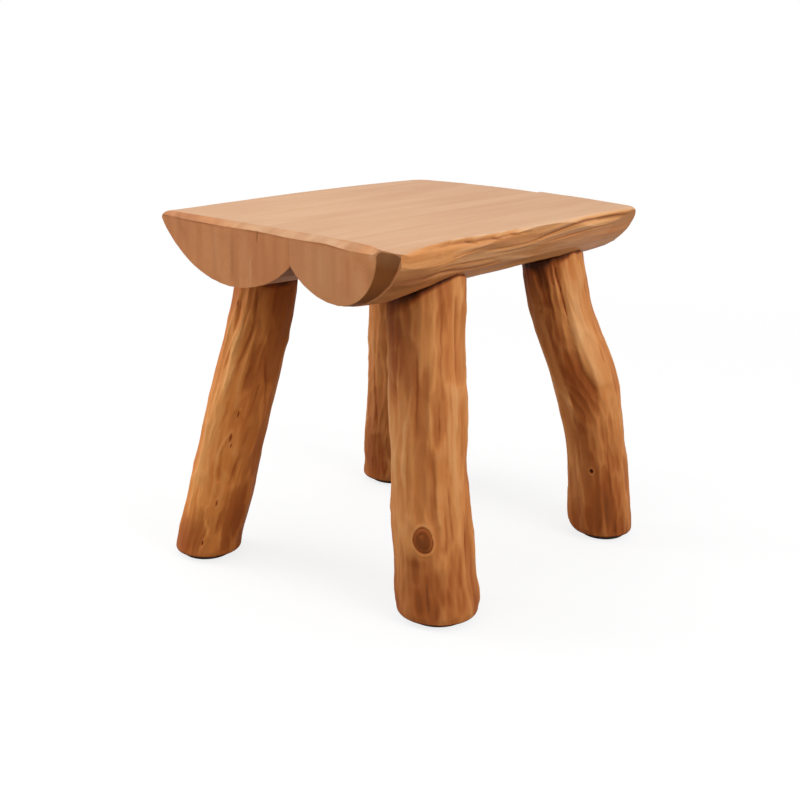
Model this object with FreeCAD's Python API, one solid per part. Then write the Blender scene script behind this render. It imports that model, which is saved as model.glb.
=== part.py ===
import FreeCAD, Part
import math
import os

# A rustic stool: two log slabs, jointed edge to edge with their round sides down, on four branch legs.
# X runs across the two slabs, Y along them with the front end at minus Y, and Z up from the floor.
# The origin is on the floor, in the middle of the box that the whole stool fills. Lengths are millimetres.

# Seat
seat_height = 400.0
seat_length = 416.0
seam_from_centre = 29.0

# Left slab, from the thicker log
left_slab_width = 204.0
left_slab_depth = 67.0
left_log_radius = 138.0
left_belly_from_seam = 89.0
left_edge_round = 14.0
left_back_bow = 17.0
left_back_bulge = 10.0
left_corner_radius = 30.0

# Right slab, from the thinner log
right_slab_width = 147.0
right_slab_depth = 61.5
right_log_radius = 86.0
right_belly_from_seam = 65.0
right_edge_round = 6.0
right_back_bow = 21.0
right_back_bulge = 2.0
right_corner_radius = 17.0

# Front ends of the slabs
end_chamfer = 6.0
end_bevel_depth = 6.0
end_bevel_radius = 50.5

# Dowels across the seam
dowel_diameter = 12.0
dowel_length = 64.0
dowel_clearance = 0.2
dowel_end_gap = 2.0

# Tenons of the legs and their blind sockets under the slabs
tenon_diameter = 34.0
tenon_length = 36.0
tenon_root = 22.0
socket_clearance = 0.2
socket_end_gap = 2.0
scribe_gap = 0.3
scribe_reach = 34.0

# Feet
foot_chamfer = 3.0
pad_thickness = 6.0
pad_share = 0.72

# Front left leg
front_left_diameter = 75.5
front_left_foot_from_edge = 25.8
front_left_foot_from_end = 24.8
front_left_tenon_from_seam = 116.0
front_left_tenon_from_end = 73.0

# Front right leg
front_right_diameter = 86.0
front_right_foot_from_edge = 25.8
front_right_foot_from_end = 91.2
front_right_tenon_from_seam = 80.0
front_right_tenon_from_end = 111.0

# Back right leg
back_right_diameter = 72.2
back_right_foot_from_edge = 18.8
back_right_foot_from_end = 22.8
back_right_tenon_from_seam = 83.0
back_right_tenon_from_end = 87.0

# Back left leg
back_left_diameter = 79.0
back_left_foot_from_edge = 21.2
back_left_foot_from_end = 66.0
back_left_tenon_from_seam = 141.0
back_left_tenon_from_end = 100.0

# One overrun serves every cut, and one reach serves every search for an edge
overrun = 20.0
edge_reach = 6.0

# How each log changes along its length: place from the front end to the back, share of its radius,
# and the share of the slab's depth by which its underside rises
left_log_shares = [
    (0.0, 1.0, 0.0), (0.3, 1.01, 0.0), (0.55, 1.02, 0.02), (0.8, 1.0, 0.02), (1.0, 0.97, 0.03)]
right_log_shares = [
    (0.0, 1.0, 0.0), (0.1, 1.03, -0.035), (0.2, 1.0, 0.02), (0.34, 0.99, 0.035), (0.55, 1.03, 0.045),
    (0.78, 1.03, 0.04), (1.0, 1.0, 0.06)]

# Outer edges seen from above: place from the front end to the back, then share of the slab's width
left_edge_shares = [(0.0, 0.99), (0.13, 0.995), (0.45, 1.01), (0.74, 0.985), (0.96, 0.925)]
right_edge_shares = [
    (0.0, 0.965), (0.1, 0.96), (0.195, 0.935), (0.3, 0.966), (0.43, 1.0), (0.51, 1.034), (0.58, 1.027),
    (0.755, 0.97), (0.95, 1.045)]

# Where the dowels cross the seam, from the front end to the back
dowel_place_shares = [0.17, 0.5, 0.83]

# The bend of each leg: height from foot to shoulder, shift outward, shift along the seat, girth.
# Shifts and girth are shares of the leg's diameter.
front_left_bend_shares = [
    (0.12, 0.0, 0.0, 0.995), (0.25, -0.008, 0.0, 0.978), (0.38, -0.01, 0.0, 0.968),
    (0.5, -0.012, -0.005, 0.975), (0.62, -0.015, -0.015, 0.962), (0.75, -0.026, -0.026, 0.92),
    (0.88, -0.03, -0.03, 0.905), (1.0, -0.01, -0.01, 0.89)]
front_right_bend_shares = [
    (0.12, -0.01, 0.01, 0.995), (0.25, -0.016, 0.016, 0.985), (0.38, -0.022, 0.022, 0.955),
    (0.5, -0.022, 0.022, 0.925), (0.62, -0.012, 0.012, 0.925), (0.75, -0.01, 0.01, 0.91),
    (0.88, -0.004, 0.004, 0.912), (1.0, 0.009, -0.008, 0.926)]
back_right_bend_shares = [
    (0.12, 0.039, 0.03, 0.995), (0.25, 0.087, 0.075, 0.98), (0.38, 0.115, 0.1, 0.975),
    (0.5, 0.115, 0.1, 1.03), (0.62, 0.084, 0.075, 1.105), (0.75, 0.01, 0.006, 1.04),
    (0.88, -0.036, -0.036, 1.005), (1.0, -0.03, -0.03, 0.975)]
back_left_bend_shares = [
    (0.12, 0.0, 0.0, 1.01), (0.25, -0.01, 0.004, 1.0), (0.38, -0.025, 0.01, 0.99), (0.5, -0.025, 0.01, 0.98),
    (0.62, -0.025, 0.012, 0.97), (0.75, -0.015, 0.005, 0.96), (0.88, 0.0, 0.0, 0.95), (1.0, 0.0, 0.0, 0.945)]

seam_x = seam_from_centre
front_y = -seat_length / 2
back_y = seat_length / 2
up = FreeCAD.Vector(0, 0, 1)
along = FreeCAD.Vector(0, 1, 0)
across = FreeCAD.Vector(1, 0, 0)

# What tells one slab from the other. Side is 1 to the right of the seam and -1 to the left.
LEFT = {
    "side": -1, "width": left_slab_width, "depth": left_slab_depth, "radius": left_log_radius,
    "belly": left_belly_from_seam, "log": left_log_shares, "edge": left_edge_shares,
    "round": left_edge_round, "corner": left_corner_radius,
    "bow": left_back_bow, "bulge": left_back_bulge}
RIGHT = {
    "side": 1, "width": right_slab_width, "depth": right_slab_depth, "radius": right_log_radius,
    "belly": right_belly_from_seam, "log": right_log_shares, "edge": right_edge_shares,
    "round": right_edge_round, "corner": right_corner_radius,
    "bow": right_back_bow, "bulge": right_back_bulge}


def station_y(share):
    """The place along the seat of a share of its length."""
    return front_y + share * seat_length


def box_between(low, high):
    """A box from its lowest corner to its highest."""
    size = high.sub(low)
    return Part.makeBox(size.x, size.y, size.z, low)


def round_log(slab, gap=0.0):
    """The whole round log that a slab is sawn from, grown by a gap where another piece is fitted to it."""
    centre_x = seam_x + slab["side"] * slab["belly"]
    rings = []
    for share, swell, rise in slab["log"]:
        radius = slab["radius"] * swell
        belly_z = seat_height - slab["depth"] * (1.0 - rise)
        centre = FreeCAD.Vector(centre_x, station_y(share), belly_z + radius)
        rings.append(Part.Wire(Part.makeCircle(radius + gap, centre, along)))
    return Part.makeLoft(rings, True, False)


def plan_prism(slab):
    """The slab's outline from above, as a prism: straight front, live outer edge, bowed back end."""
    low_z = seat_height - slab["depth"] - overrun
    points = []
    for share, width in slab["edge"]:
        points.append(FreeCAD.Vector(seam_x + slab["side"] * slab["width"] * width, station_y(share), low_z))
    seam_front = FreeCAD.Vector(seam_x, front_y, low_z)
    seam_back = FreeCAD.Vector(seam_x, back_y, low_z)
    corner = FreeCAD.Vector(points[-1].x, back_y - slab["bow"], low_z)
    points[-1] = corner
    live_edge = Part.BSplineCurve()
    live_edge.interpolate(points)
    bulge_point = (seam_back + corner) * 0.5 + along * slab["bulge"]
    outline = Part.Wire([
        Part.makeLine(seam_front, points[0]),
        live_edge.toShape(),
        Part.Arc(corner, bulge_point, seam_back).toShape(),
        Part.makeLine(seam_back, seam_front)])
    prism = Part.Face(outline).extrude(up * (seat_height - low_z))
    upright = [edge for edge in prism.Edges if is_upright_at(edge, corner)]
    prism = prism.makeFillet(slab["corner"], upright)
    rim = [edge for edge in prism.Edges if is_outer_rim(edge)]
    return prism.makeFillet(slab["round"], rim)


def is_upright_at(edge, place):
    """Whether an edge stands upright over a place."""
    box = edge.BoundBox
    return box.ZLength > box.XLength + box.YLength and edge.distToShape(Part.Vertex(place))[0] < edge_reach


def is_outer_rim(edge):
    """Whether an edge of a plan prism lies in the seat's top, away from the seam and the front end."""
    ends = edge.Vertexes
    in_top = edge.BoundBox.ZLength < edge_reach and abs(ends[0].Z - seat_height) < edge_reach
    on_seam = max(abs(vertex.X - seam_x) for vertex in ends) < edge_reach
    on_front = max(abs(vertex.Y - front_y) for vertex in ends) < edge_reach
    return in_top and not on_seam and not on_front


def front_chamfer():
    """The waste of the hand-cut chamfer along the front end's upper edge."""
    reach = left_slab_width + right_slab_width + overrun
    corner = FreeCAD.Vector(-reach, front_y, seat_height)
    outer = corner.add(along * -overrun).add(up * overrun)
    low = corner.add(up * -end_chamfer)
    back = corner.add(along * end_chamfer)
    section = Part.makePolygon([low, low.add(along * -overrun), outer, back.add(up * overrun), back, low])
    return Part.Face(section).extrude(across * (2 * reach))


def outer_end_bevel(slab):
    """The waste outside the bevel that runs round the outer half of the front end and dies at the belly."""
    belly = FreeCAD.Vector(seam_x + slab["side"] * slab["belly"], front_y, seat_height - slab["depth"])
    full_radius = slab["radius"] * slab["log"][0][1]
    front = Part.makeCircle(end_bevel_radius, belly.add(up * end_bevel_radius), along)
    back = Part.makeCircle(full_radius, belly.add(up * full_radius).add(along * end_bevel_depth), along)
    kept = Part.makeLoft([Part.Wire(front), Part.Wire(back)], True, True)
    low = belly.sub(up * overrun)
    high = FreeCAD.Vector(belly.x + slab["width"], front_y + end_bevel_depth, seat_height + overrun)
    return box_between(low, high).cut(kept)


def slab_blank(slab):
    """A slab before its sockets and dowel holes: log, planed top, jointed edge and cut ends."""
    blank = round_log(slab).common(plan_prism(slab))
    return blank.cut(front_chamfer())


def dowel_places():
    """The middles of the dowels, on the seam and halfway down the shallower joint face."""
    faces = []
    for slab in (LEFT, RIGHT):
        rise = math.sqrt(slab["radius"] ** 2 - slab["belly"] ** 2)
        faces.append(slab["depth"] - slab["radius"] + rise)
    height = seat_height - min(faces) / 2
    return [FreeCAD.Vector(seam_x, station_y(share), height) for share in dowel_place_shares]


def cross_pin(centre, diameter, length):
    """A round pin across the seam."""
    return Part.makeCylinder(diameter / 2, length, centre.sub(across * (length / 2)), across)


def foot_middle(leg):
    """The middle of a leg's foot, on the floor, set in from its slab's outer edge and end."""
    slab = leg["slab"]
    return FreeCAD.Vector(
        seam_x + slab["side"] * (slab["width"] - leg["foot_from_edge"]),
        leg["end"] * (seat_length / 2 - leg["foot_from_end"]),
        0)


def shoulder_middle(leg):
    """The middle of a leg's shoulder, level with the underside of its slab."""
    slab = leg["slab"]
    return FreeCAD.Vector(
        seam_x + slab["side"] * leg["from_seam"],
        leg["end"] * (seat_length / 2 - leg["from_end"]),
        seat_height - slab["depth"])


def leg_line(leg):
    """The unit line from a leg's foot to its shoulder."""
    return shoulder_middle(leg).sub(foot_middle(leg)).normalize()


def leg_ring(leg, height, out, shift, girth):
    """A level ring of a leg at a height, bent from the straight line between foot and shoulder."""
    line = leg_line(leg)
    centre = foot_middle(leg).add(line * (height / line.z))
    centre.x += leg["slab"]["side"] * out * leg["diameter"]
    centre.y += leg["end"] * shift * leg["diameter"]
    return Part.Wire(Part.makeCircle(girth * leg["diameter"] / 2, centre, up))


def branch_leg(leg):
    """One leg: a bent branch with a chamfered foot, a scribed shoulder and a turned tenon."""
    slab = leg["slab"]
    low = pad_thickness + foot_chamfer
    high = seat_height - slab["depth"]
    rings = [leg_ring(leg, low, 0.0, 0.0, 1.0)]
    for share, out, shift, girth in leg["bend"]:
        rings.append(leg_ring(leg, low + share * (high - low), out, shift, girth))
    top_girth = leg["bend"][-1][3]
    rings.append(leg_ring(leg, high + scribe_reach, 0.0, 0.0, top_girth))
    branch = Part.makeLoft(rings, True, False)
    foot_share = 1.0 - 2 * foot_chamfer / leg["diameter"]
    toe = Part.makeLoft([leg_ring(leg, pad_thickness, 0.0, 0.0, foot_share), rings[0]], True, True)
    scribed = branch.cut(round_log(slab, scribe_gap))
    root = shoulder_middle(leg).sub(leg_line(leg) * tenon_root)
    tenon = Part.makeCylinder(tenon_diameter / 2, tenon_root + tenon_length, root, leg_line(leg))
    return scribed.fuse([toe, tenon]).removeSplitter()


def leg_socket(leg):
    """The waste of the blind socket that takes a leg's tenon."""
    root = shoulder_middle(leg).sub(leg_line(leg) * tenon_root)
    depth = tenon_root + tenon_length + socket_end_gap
    return Part.makeCylinder(tenon_diameter / 2 + socket_clearance, depth, root, leg_line(leg))


def foot_pad(leg):
    """The thin pad under a foot."""
    return Part.makeCylinder(pad_share * leg["diameter"] / 2, pad_thickness, foot_middle(leg), up)


# The legs. End is -1 at the front and 1 at the back.
LEGS = {
    "front_left": {
        "slab": LEFT, "end": -1, "diameter": front_left_diameter, "bend": front_left_bend_shares,
        "foot_from_edge": front_left_foot_from_edge, "foot_from_end": front_left_foot_from_end,
        "from_seam": front_left_tenon_from_seam, "from_end": front_left_tenon_from_end},
    "front_right": {
        "slab": RIGHT, "end": -1, "diameter": front_right_diameter, "bend": front_right_bend_shares,
        "foot_from_edge": front_right_foot_from_edge, "foot_from_end": front_right_foot_from_end,
        "from_seam": front_right_tenon_from_seam, "from_end": front_right_tenon_from_end},
    "back_right": {
        "slab": RIGHT, "end": 1, "diameter": back_right_diameter, "bend": back_right_bend_shares,
        "foot_from_edge": back_right_foot_from_edge, "foot_from_end": back_right_foot_from_end,
        "from_seam": back_right_tenon_from_seam, "from_end": back_right_tenon_from_end},
    "back_left": {
        "slab": LEFT, "end": 1, "diameter": back_left_diameter, "bend": back_left_bend_shares,
        "foot_from_edge": back_left_foot_from_edge, "foot_from_end": back_left_foot_from_end,
        "from_seam": back_left_tenon_from_seam, "from_end": back_left_tenon_from_end}}


def seat_slab(slab):
    """A finished slab with its sockets and its halves of the dowel holes."""
    waste = [leg_socket(leg) for leg in LEGS.values() if leg["slab"] is slab]
    hole_diameter = dowel_diameter + 2 * dowel_clearance
    hole_length = dowel_length + 2 * dowel_end_gap
    for centre in dowel_places():
        waste.append(cross_pin(centre, hole_diameter, hole_length))
    return slab_blank(slab).cut(waste)


def write(name, shape):
    """Write a node's solid or solids and print what they are."""
    shape.exportStep("parts/" + name + ".step")
    print("%-22s %d solid(s) %9.0f mm3  valid %s" % (name, len(shape.Solids), shape.Volume, shape.isValid()))


os.makedirs("parts", exist_ok=True)
write("seat_slab_left", seat_slab(LEFT))
write("seat_slab_right", seat_slab(RIGHT).cut(outer_end_bevel(RIGHT)))
dowels = [cross_pin(centre, dowel_diameter, dowel_length) for centre in dowel_places()]
write("seam_dowels", Part.Compound(dowels))
for place, leg in LEGS.items():
    write("leg_" + place, branch_leg(leg))
    write("foot_pad_" + place, foot_pad(leg))
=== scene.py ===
# %% [markdown]
# # A rustic stool: two log slabs on four branch legs
# The real stool is made from round wood. Two slabs, each sawn from a log and laid round side down, are jointed edge
# to edge to make the seat. Four peeled branches, each with its own bend, stand in blind sockets under them.
# This lesson dresses the measured model: it keeps every size, and adds what the hand and the tree left on the wood.
# The first cell loads the measured pieces.

# %% Load the measured stool
import math
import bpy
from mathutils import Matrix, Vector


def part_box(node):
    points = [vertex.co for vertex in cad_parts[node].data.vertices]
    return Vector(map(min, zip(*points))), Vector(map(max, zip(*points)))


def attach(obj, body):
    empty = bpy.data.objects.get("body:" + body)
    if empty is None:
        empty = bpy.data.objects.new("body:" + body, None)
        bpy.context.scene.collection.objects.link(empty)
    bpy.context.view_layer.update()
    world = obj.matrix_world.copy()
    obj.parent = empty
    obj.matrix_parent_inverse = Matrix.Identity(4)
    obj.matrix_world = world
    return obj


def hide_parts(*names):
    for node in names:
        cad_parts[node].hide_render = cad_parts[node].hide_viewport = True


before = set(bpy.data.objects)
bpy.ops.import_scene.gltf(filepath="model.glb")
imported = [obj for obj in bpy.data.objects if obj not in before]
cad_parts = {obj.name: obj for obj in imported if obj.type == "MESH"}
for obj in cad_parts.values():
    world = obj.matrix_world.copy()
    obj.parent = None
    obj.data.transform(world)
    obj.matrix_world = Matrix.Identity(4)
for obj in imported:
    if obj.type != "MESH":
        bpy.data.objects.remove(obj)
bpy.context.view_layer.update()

from types import SimpleNamespace

import bmesh
import bpy
import numpy as np
from mathutils import Matrix, Vector
from mathutils.bvhtree import BVHTree

mm = 0.001

# %% [markdown]
# ## Colours and nodes
# Colours are written as a paint chart gives them, as hex values, and one function turns them into the linear values
# that the shader wants. A second small function adds a node with its settings and links, so that each material below
# reads like a recipe.

# %% Colours from the chart, and one way to add a node
def linear(chart):
    """A hex colour as linear red, green, blue and full alpha."""
    parts = [int(chart[i:i + 2], 16) / 255 for i in (1, 3, 5)]
    return tuple(c / 12.92 if c <= 0.04045 else ((c + 0.055) / 1.055) ** 2.4 for c in parts) + (1.0,)


def add(tree, kind, inputs=None, **settings):
    """Add a node. Settings are its own, and inputs are values or sockets to link from."""
    node = tree.nodes.new(kind)
    for name, value in settings.items():
        setattr(node, name, value)
    for name, value in (inputs or {}).items():
        if isinstance(value, bpy.types.NodeSocket):
            tree.links.new(value, node.inputs[name])
        else:
            node.inputs[name].default_value = value
    return node


print("seat tan as linear", [round(c, 3) for c in linear("#d09263")])

# %% [markdown]
# ## Unevenness with a seed
# Hand work is never even, and its unevenness has to be the same on each run. It could be a noise texture, but numbers
# in an array can also move points, and moved points show in the outline as well as in the light. So each whole-number
# place gets a fixed number, and the places between are blended smoothly.

# %% Smooth noise with a seed
def lattice(cell, seed):
    """A fixed number from -1 to 1 for each whole-number place. The large odd numbers only stir its digits."""
    mix = cell[..., 0] * 73856093 ^ cell[..., 1] * 19349663 ^ cell[..., 2] * 83492791 ^ (seed + 1) * 2654435761
    mix = (mix ^ mix >> 13) * 1274126177 & 0xffffffff
    mix = (mix ^ mix >> 15) * 2246822519 & 0xffffffff
    return ((mix ^ mix >> 16) & 0xffffff) / 0x7fffff - 1.0


def wander(place, size, seed):
    """Smooth noise from -1 to 1. Size is the distance between lumps, in the units of place."""
    place = place / np.asarray(size, float)
    cell = np.floor(place).astype(np.int64)
    part = place - cell
    part = part * part * part * (part * (part * 6 - 15) + 10)
    total = np.zeros(place.shape[:-1])
    for corner in np.ndindex(2, 2, 2):
        share = np.prod(np.where(corner, part, 1 - part), axis=-1)
        total += share * lattice(cell + np.array(corner), seed)
    return total


def ease(value, low, high):
    """0 below low, 1 above high, and a smooth step between."""
    t = np.clip((value - low) / (high - low), 0, 1)
    return t * t * (3 - 2 * t)


line_of_places = np.stack([np.linspace(0, 500, 2000), np.zeros(2000), np.zeros(2000)], axis=-1)
print("noise reaches", round(float(np.abs(wander(line_of_places, 20, 1)).max()), 2))

# %% [markdown]
# ## Cuts of a drawknife
# Bark is peeled with a drawknife, which takes long shallow scoops. Where two scoops meet there is a crisp ridge.
# Scoops can be carved by hand, or by a rule: each scoop is a shallow bowl with its own middle, and the surface is
# the lowest of the bowls near it. The rule covers six pieces at once, so it is used here.

# %% Scoops
middle_strays = (0.28, 0.25)  # how far a scoop's middle strays, as shares of its width and length
bowl_rises = (4, 2.2)  # how fast a bowl rises across and along the cut
bowl_levels = 0.35  # how much one scoop is deeper than the next


def scoops(across, along, seed, width, length, depth, crisp, wrap=0):
    """How deep drawknife scoops lie, in millimetres. Crisp is how sharp the ridges between them are, and wrap the
    number of scoops round a closed girth."""
    column = np.floor(across / width)
    bowls = np.zeros(across.shape)
    for side in (-1, 0, 1):
        near = column + side
        key = np.mod(near, wrap) if wrap else near
        shift = lattice(np.stack([key, key * 0, key * 0], axis=-1).astype(np.int64), seed) * length
        row = np.floor((along + shift) / length)
        for end in (-1, 0, 1):
            cell = np.stack([key, row + end, key * 0], axis=-1).astype(np.int64)
            middle_across = (near + 0.5 + middle_strays[0] * lattice(cell, seed + 1)) * width
            middle_along = (row + end + 0.5 + middle_strays[1] * lattice(cell, seed + 2)) * length - shift
            bowl = ((across - middle_across) / width) ** 2 * bowl_rises[0]
            bowl = bowl + ((along - middle_along) / length) ** 2 * bowl_rises[1]
            bowls += np.exp(-crisp * (bowl + bowl_levels * lattice(cell, seed + 3)))
    return np.clip(-np.log(bowls) / crisp, -0.4, 1.4) * depth - 0.5 * depth


trial = scoops(np.linspace(0, 200, 400), np.linspace(0, 60, 400), 1, 17.0, 95.0, 0.9, 7)
print("trial scoops reach from %.2f to %.2f mm" % (trial.min(), trial.max()))

# %% [markdown]
# ## Marks placed one by one
# Marks that the eye knows again, such as one groove, one scar or one chip in the rim, can't come from a rule. Each is
# drawn as a line on the surface, with a width on either side of it, so that a ridge can be steep on one side.

# %% Strokes
def stroke(across, along, points, widths):
    """How near each place is to a drawn line: 1 on it, 0 a few widths off, fading towards both ends.
    The first width is for the side of lower across values, the second for the other side."""
    points = np.asarray(points, float)
    pieces = np.hypot(*(points[1:] - points[:-1]).T)
    start = np.concatenate([[0.0], np.cumsum(pieces)])
    nearest = np.full(across.shape, 1e6)
    reached = np.zeros(across.shape)
    width = np.full(across.shape, float(widths[0]))
    for first, last, size, done in zip(points, points[1:], pieces, start):
        way = (last - first) / size
        step = np.clip((across - first[0]) * way[0] + (along - first[1]) * way[1], 0, size)
        offset = across - first[0] - way[0] * step
        gap = np.hypot(offset, along - first[1] - way[1] * step)
        closer = gap < nearest
        width = np.where(closer, np.where(offset < 0, widths[0], widths[1]), width)
        nearest = np.where(closer, gap, nearest)
        reached = np.where(closer, (done + step) / start[-1], reached)
    fade = np.clip(4.0 * reached * (1.0 - reached), 0.0, 1.0) ** 0.5
    return np.exp(-(nearest / width) ** 1.6) * fade


trial = stroke(np.array([0, 1, 2, 4]), np.full(4, 5), [(0, 0), (0, 10)], (2, 2))
print("a stroke 2 mm wide, at 0, 1, 2 and 4 mm from its line", trial.round(2))

# %% [markdown]
# ## Wood in three dimensions
# Grain runs along the tree, so the wood's pattern is drawn in the wood's own space. Each dressed piece carries where
# each of its points lay in the tree, in millimetres, so that grain bends with a bent branch and runs out through a
# cut end as it does in real wood. It also carries a tint, pale on ridges and dark in grooves, partly as wear and oil
# and partly as painted highlight and painted shade, with broader patches of painted light and painted shade.

# %% Keep the wood's own space on a mesh
def keep_on(mesh, wood_place, tint, inside_bevel=None):
    """Store each point's place in the tree, its tint, and how far inside the dark bevel it lies, in millimetres."""
    place = mesh.attributes.new("wood_place", "FLOAT_VECTOR", "POINT")
    place.data.foreach_set("vector", np.ascontiguousarray(wood_place, np.float32).ravel())
    shade = mesh.attributes.new("wood_tint", "FLOAT", "POINT")
    shade.data.foreach_set("value", np.ascontiguousarray(tint, np.float32).ravel())
    if inside_bevel is not None:
        inside = mesh.attributes.new("inside_bevel", "FLOAT", "POINT")
        inside.data.foreach_set("value", np.ascontiguousarray(inside_bevel, np.float32).ravel())


def new_material(name):
    """An empty node material and its surface shader."""
    material = bpy.data.materials.new(name)
    material.use_nodes = True
    tree = material.node_tree
    shader = tree.nodes["Principled BSDF"]
    return material, tree, shader


print("wood space is kept as wood_place and wood_tint")

# %% [markdown]
# ## Oiled wood
# All the wood that shows is solid, with a thin coat of oil: the colour is warm and the shine is low and broad. What
# the eye reads as wood is one thing at several sizes: broad drifts of colour, growth lines a few millimetres apart,
# fine fibre and dark pores. All are noise drawn out along the tree. It could be a picture of a plank, but that
# wouldn't bend with a branch or run out through a cut end.

# %% Noise along the tree, and layers of colour
def stretched(tree, place, across, along, seed, detail=2.0, lengthwise=2):
    """Noise drawn out along the tree: across and along are its sizes in millimetres."""
    sizes = [1 / across] * 3
    sizes[lengthwise] = 1 / along
    scaled = add(tree, "ShaderNodeVectorMath", {0: place, 1: tuple(sizes)}, operation="MULTIPLY")
    moved = add(tree, "ShaderNodeVectorMath", {0: scaled.outputs[0], 1: (seed, seed * 2, seed * 3)})
    noise = add(tree, "ShaderNodeTexNoise", {"Vector": moved.outputs[0], "Scale": 1.0, "Detail": detail})
    return noise.outputs[0]


def painted(tree, colour, layers):
    """Lay colours over one another: each layer is a value, the range over which it comes in, its share and colour."""
    for value, low, high, share, over in layers:
        amount = add(tree, "ShaderNodeMapRange", {"Value": value, "From Min": low, "From Max": high, "To Max": share})
        mixed = add(tree, "ShaderNodeMix", {0: amount.outputs[0], 6: colour, 7: over}, data_type="RGBA")
        colour = mixed.outputs[2]
    return colour


def grain_colour(tree, chart, grain):
    """Layer a chart's colours: broad drifts, growth lines, fine fibre and pores."""
    drift, growth, fibre, pores = grain
    growth_share, fibre_share, pore_share = chart["shares"]
    return painted(tree, linear(chart["warm"]), [
        (drift, 0.32, 0.68, 1.0, linear(chart["light"])),
        (growth, 0.48, 0.66, growth_share, linear(chart["growth"])),
        (fibre, 0.35, 0.75, fibre_share, linear(chart["fibre"])),
        (pores, 0.62, 0.74, pore_share, linear(chart["pores"]))])


# Each layer of grain with its own seed, and its detail in octaves
grain_layers = (("drift", 1.7, 1.0), ("growth", 5.1, 2.0), ("fibre", 9.3, 3.0), ("pores", 3.9, 1.0))
print("grain is laid on in the order", [layer[0] for layer in grain_layers])

# %% [markdown]
# ### One recipe, and the faces of a slab
# A slab shows the peeled round of the log, a planed top and a sawn end, and each took up the oil in its own way.
# They could be three materials, but their borders would then follow the triangles. Here the direction that the
# surface faces blends them: what faces up is planed, and what faces the front or the back is sawn.
# A coat of oil has an IOR near 1.5. It lies thin and broken on the fibres, so the shine is turned down and the
# roughness is 0.5 to 0.7, which the eye reads as satin.

# %% The recipe for oiled wood
oil_ior = 1.5


def worked_faces(tree, place, colour, sizes, grain, planed, sawn, bevel):
    """Lay the planed top, the sawn end and the dark bevel over the peeled colour."""
    facing = add(tree, "ShaderNodeSeparateXYZ", {0: add(tree, "ShaderNodeNewGeometry").outputs["Normal"]})
    end = add(tree, "ShaderNodeMath", {0: facing.outputs["Y"]}, operation="ABSOLUTE").outputs[0]
    inside = add(tree, "ShaderNodeAttribute", attribute_name="inside_bevel").outputs["Fac"]
    band = stretched(tree, place, *sizes["band"], 2.3, 1.0, 2)
    speck = stretched(tree, place, *sizes["speck"], 6.7, 2.0, 2)
    end_grain = (band, grain[1], speck, grain[3])
    return painted(tree, colour, [
        (facing.outputs["Z"], 0.5, 0.9, 1.0, grain_colour(tree, planed, grain)),
        (end, 0.6, 0.85, 1.0, grain_colour(tree, sawn, end_grain)),
        (inside, 0.1, 0.6, 1.0, grain_colour(tree, bevel, end_grain))])


def oiled_wood(name, chart, sizes, lengthwise, planed=None, sawn=None, bevel=None):
    """Oiled solid wood. Chart holds its colours and sizes its pattern, in millimetres across and along."""
    material, tree, shader = new_material(name)
    place = add(tree, "ShaderNodeAttribute", attribute_name="wood_place").outputs["Vector"]
    tint = add(tree, "ShaderNodeAttribute", attribute_name="wood_tint").outputs["Fac"]
    grain = [stretched(tree, place, *sizes[part], seed, detail, lengthwise) for part, seed, detail in grain_layers]
    colour = grain_colour(tree, chart, grain)
    if planed:
        colour = worked_faces(tree, place, colour, sizes, grain, planed, sawn, bevel)
    # A plus tint lays on the pale worn colour, which is wear and also painted light and highlight; a minus tint lays
    # on the deep and groove colours, which are oil and also painted shade.
    colour = painted(tree, colour, [
        (tint, 0.0, 1.0, 1.0, linear(chart["worn_and_lit"])),
        (tint, 0.0, -0.5, 0.85, linear(chart["deep"])),
        (tint, -0.5, -1.0, 1.0, linear(chart["groove_and_shade"]))])
    tree.links.new(colour, shader.inputs["Base Color"])
    shader.inputs["IOR"].default_value = oil_ior
    shader.inputs["Specular IOR Level"].default_value = sizes["shine"]
    _, growth, fibre, _ = grain
    rough = add(tree, "ShaderNodeMapRange", {
        "Value": fibre, "From Min": 0.3, "From Max": 0.7, "To Min": sizes["rough"][0], "To Max": sizes["rough"][1]})
    tree.links.new(rough.outputs[0], shader.inputs["Roughness"])
    lifted = add(tree, "ShaderNodeMath", {0: fibre, 1: growth}, operation="ADD")
    bump = add(tree, "ShaderNodeBump", {
        "Strength": 1.0, "Distance": sizes["raised"] * mm, "Height": lifted.outputs[0]})
    tree.links.new(bump.outputs[0], shader.inputs["Normal"])
    return material


print("oiled wood has an IOR of", oil_ior)

# %% [markdown]
# ## The seat's slabs
# Each slab is a plank with one live side. Its top was planed, its front end sawn and chamfered by hand, and its
# underside and outer side were only peeled. The measured slab already has the right outline, so it is the start:
# a copy is cut into small triangles, and the points are then moved by the hand marks. Cutting keeps the flat faces
# and crisp edges, where a voxel remesh would round them.

# %% Cut a measured piece into small triangles
slab_edge = 3.0 * mm
fine_edge = 1.4 * mm
finest_edge = 0.8 * mm
# Long edges are halved again and again: coarse everywhere first, then fine where hand marks are
cutting_sizes = [slab_edge * 2 ** step for step in (5, 4, 3, 2, 1)] + [slab_edge] * 3
cutting_sizes += [fine_edge] * 2 + [finest_edge] * 2
crisp_edge = math.radians(14)
flat_edge = 0.05
same_point = 1e-6
sliver = 0.01 * mm
# Fine cuts lie on the front end and right of and above these, and the finest on the right front corner
fine_end, fine_right, fine_rim = -0.2015, 0.135, 0.352
finest_end, finest_rim = -0.2005, 0.375


def needs(place):
    """The triangle size a place needs."""
    if place.y < finest_end and place.x > fine_right and place.z > finest_rim:
        return finest_edge
    if place.y < fine_end or (place.x > fine_right and place.z > fine_rim):
        return fine_edge
    return slab_edge


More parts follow.
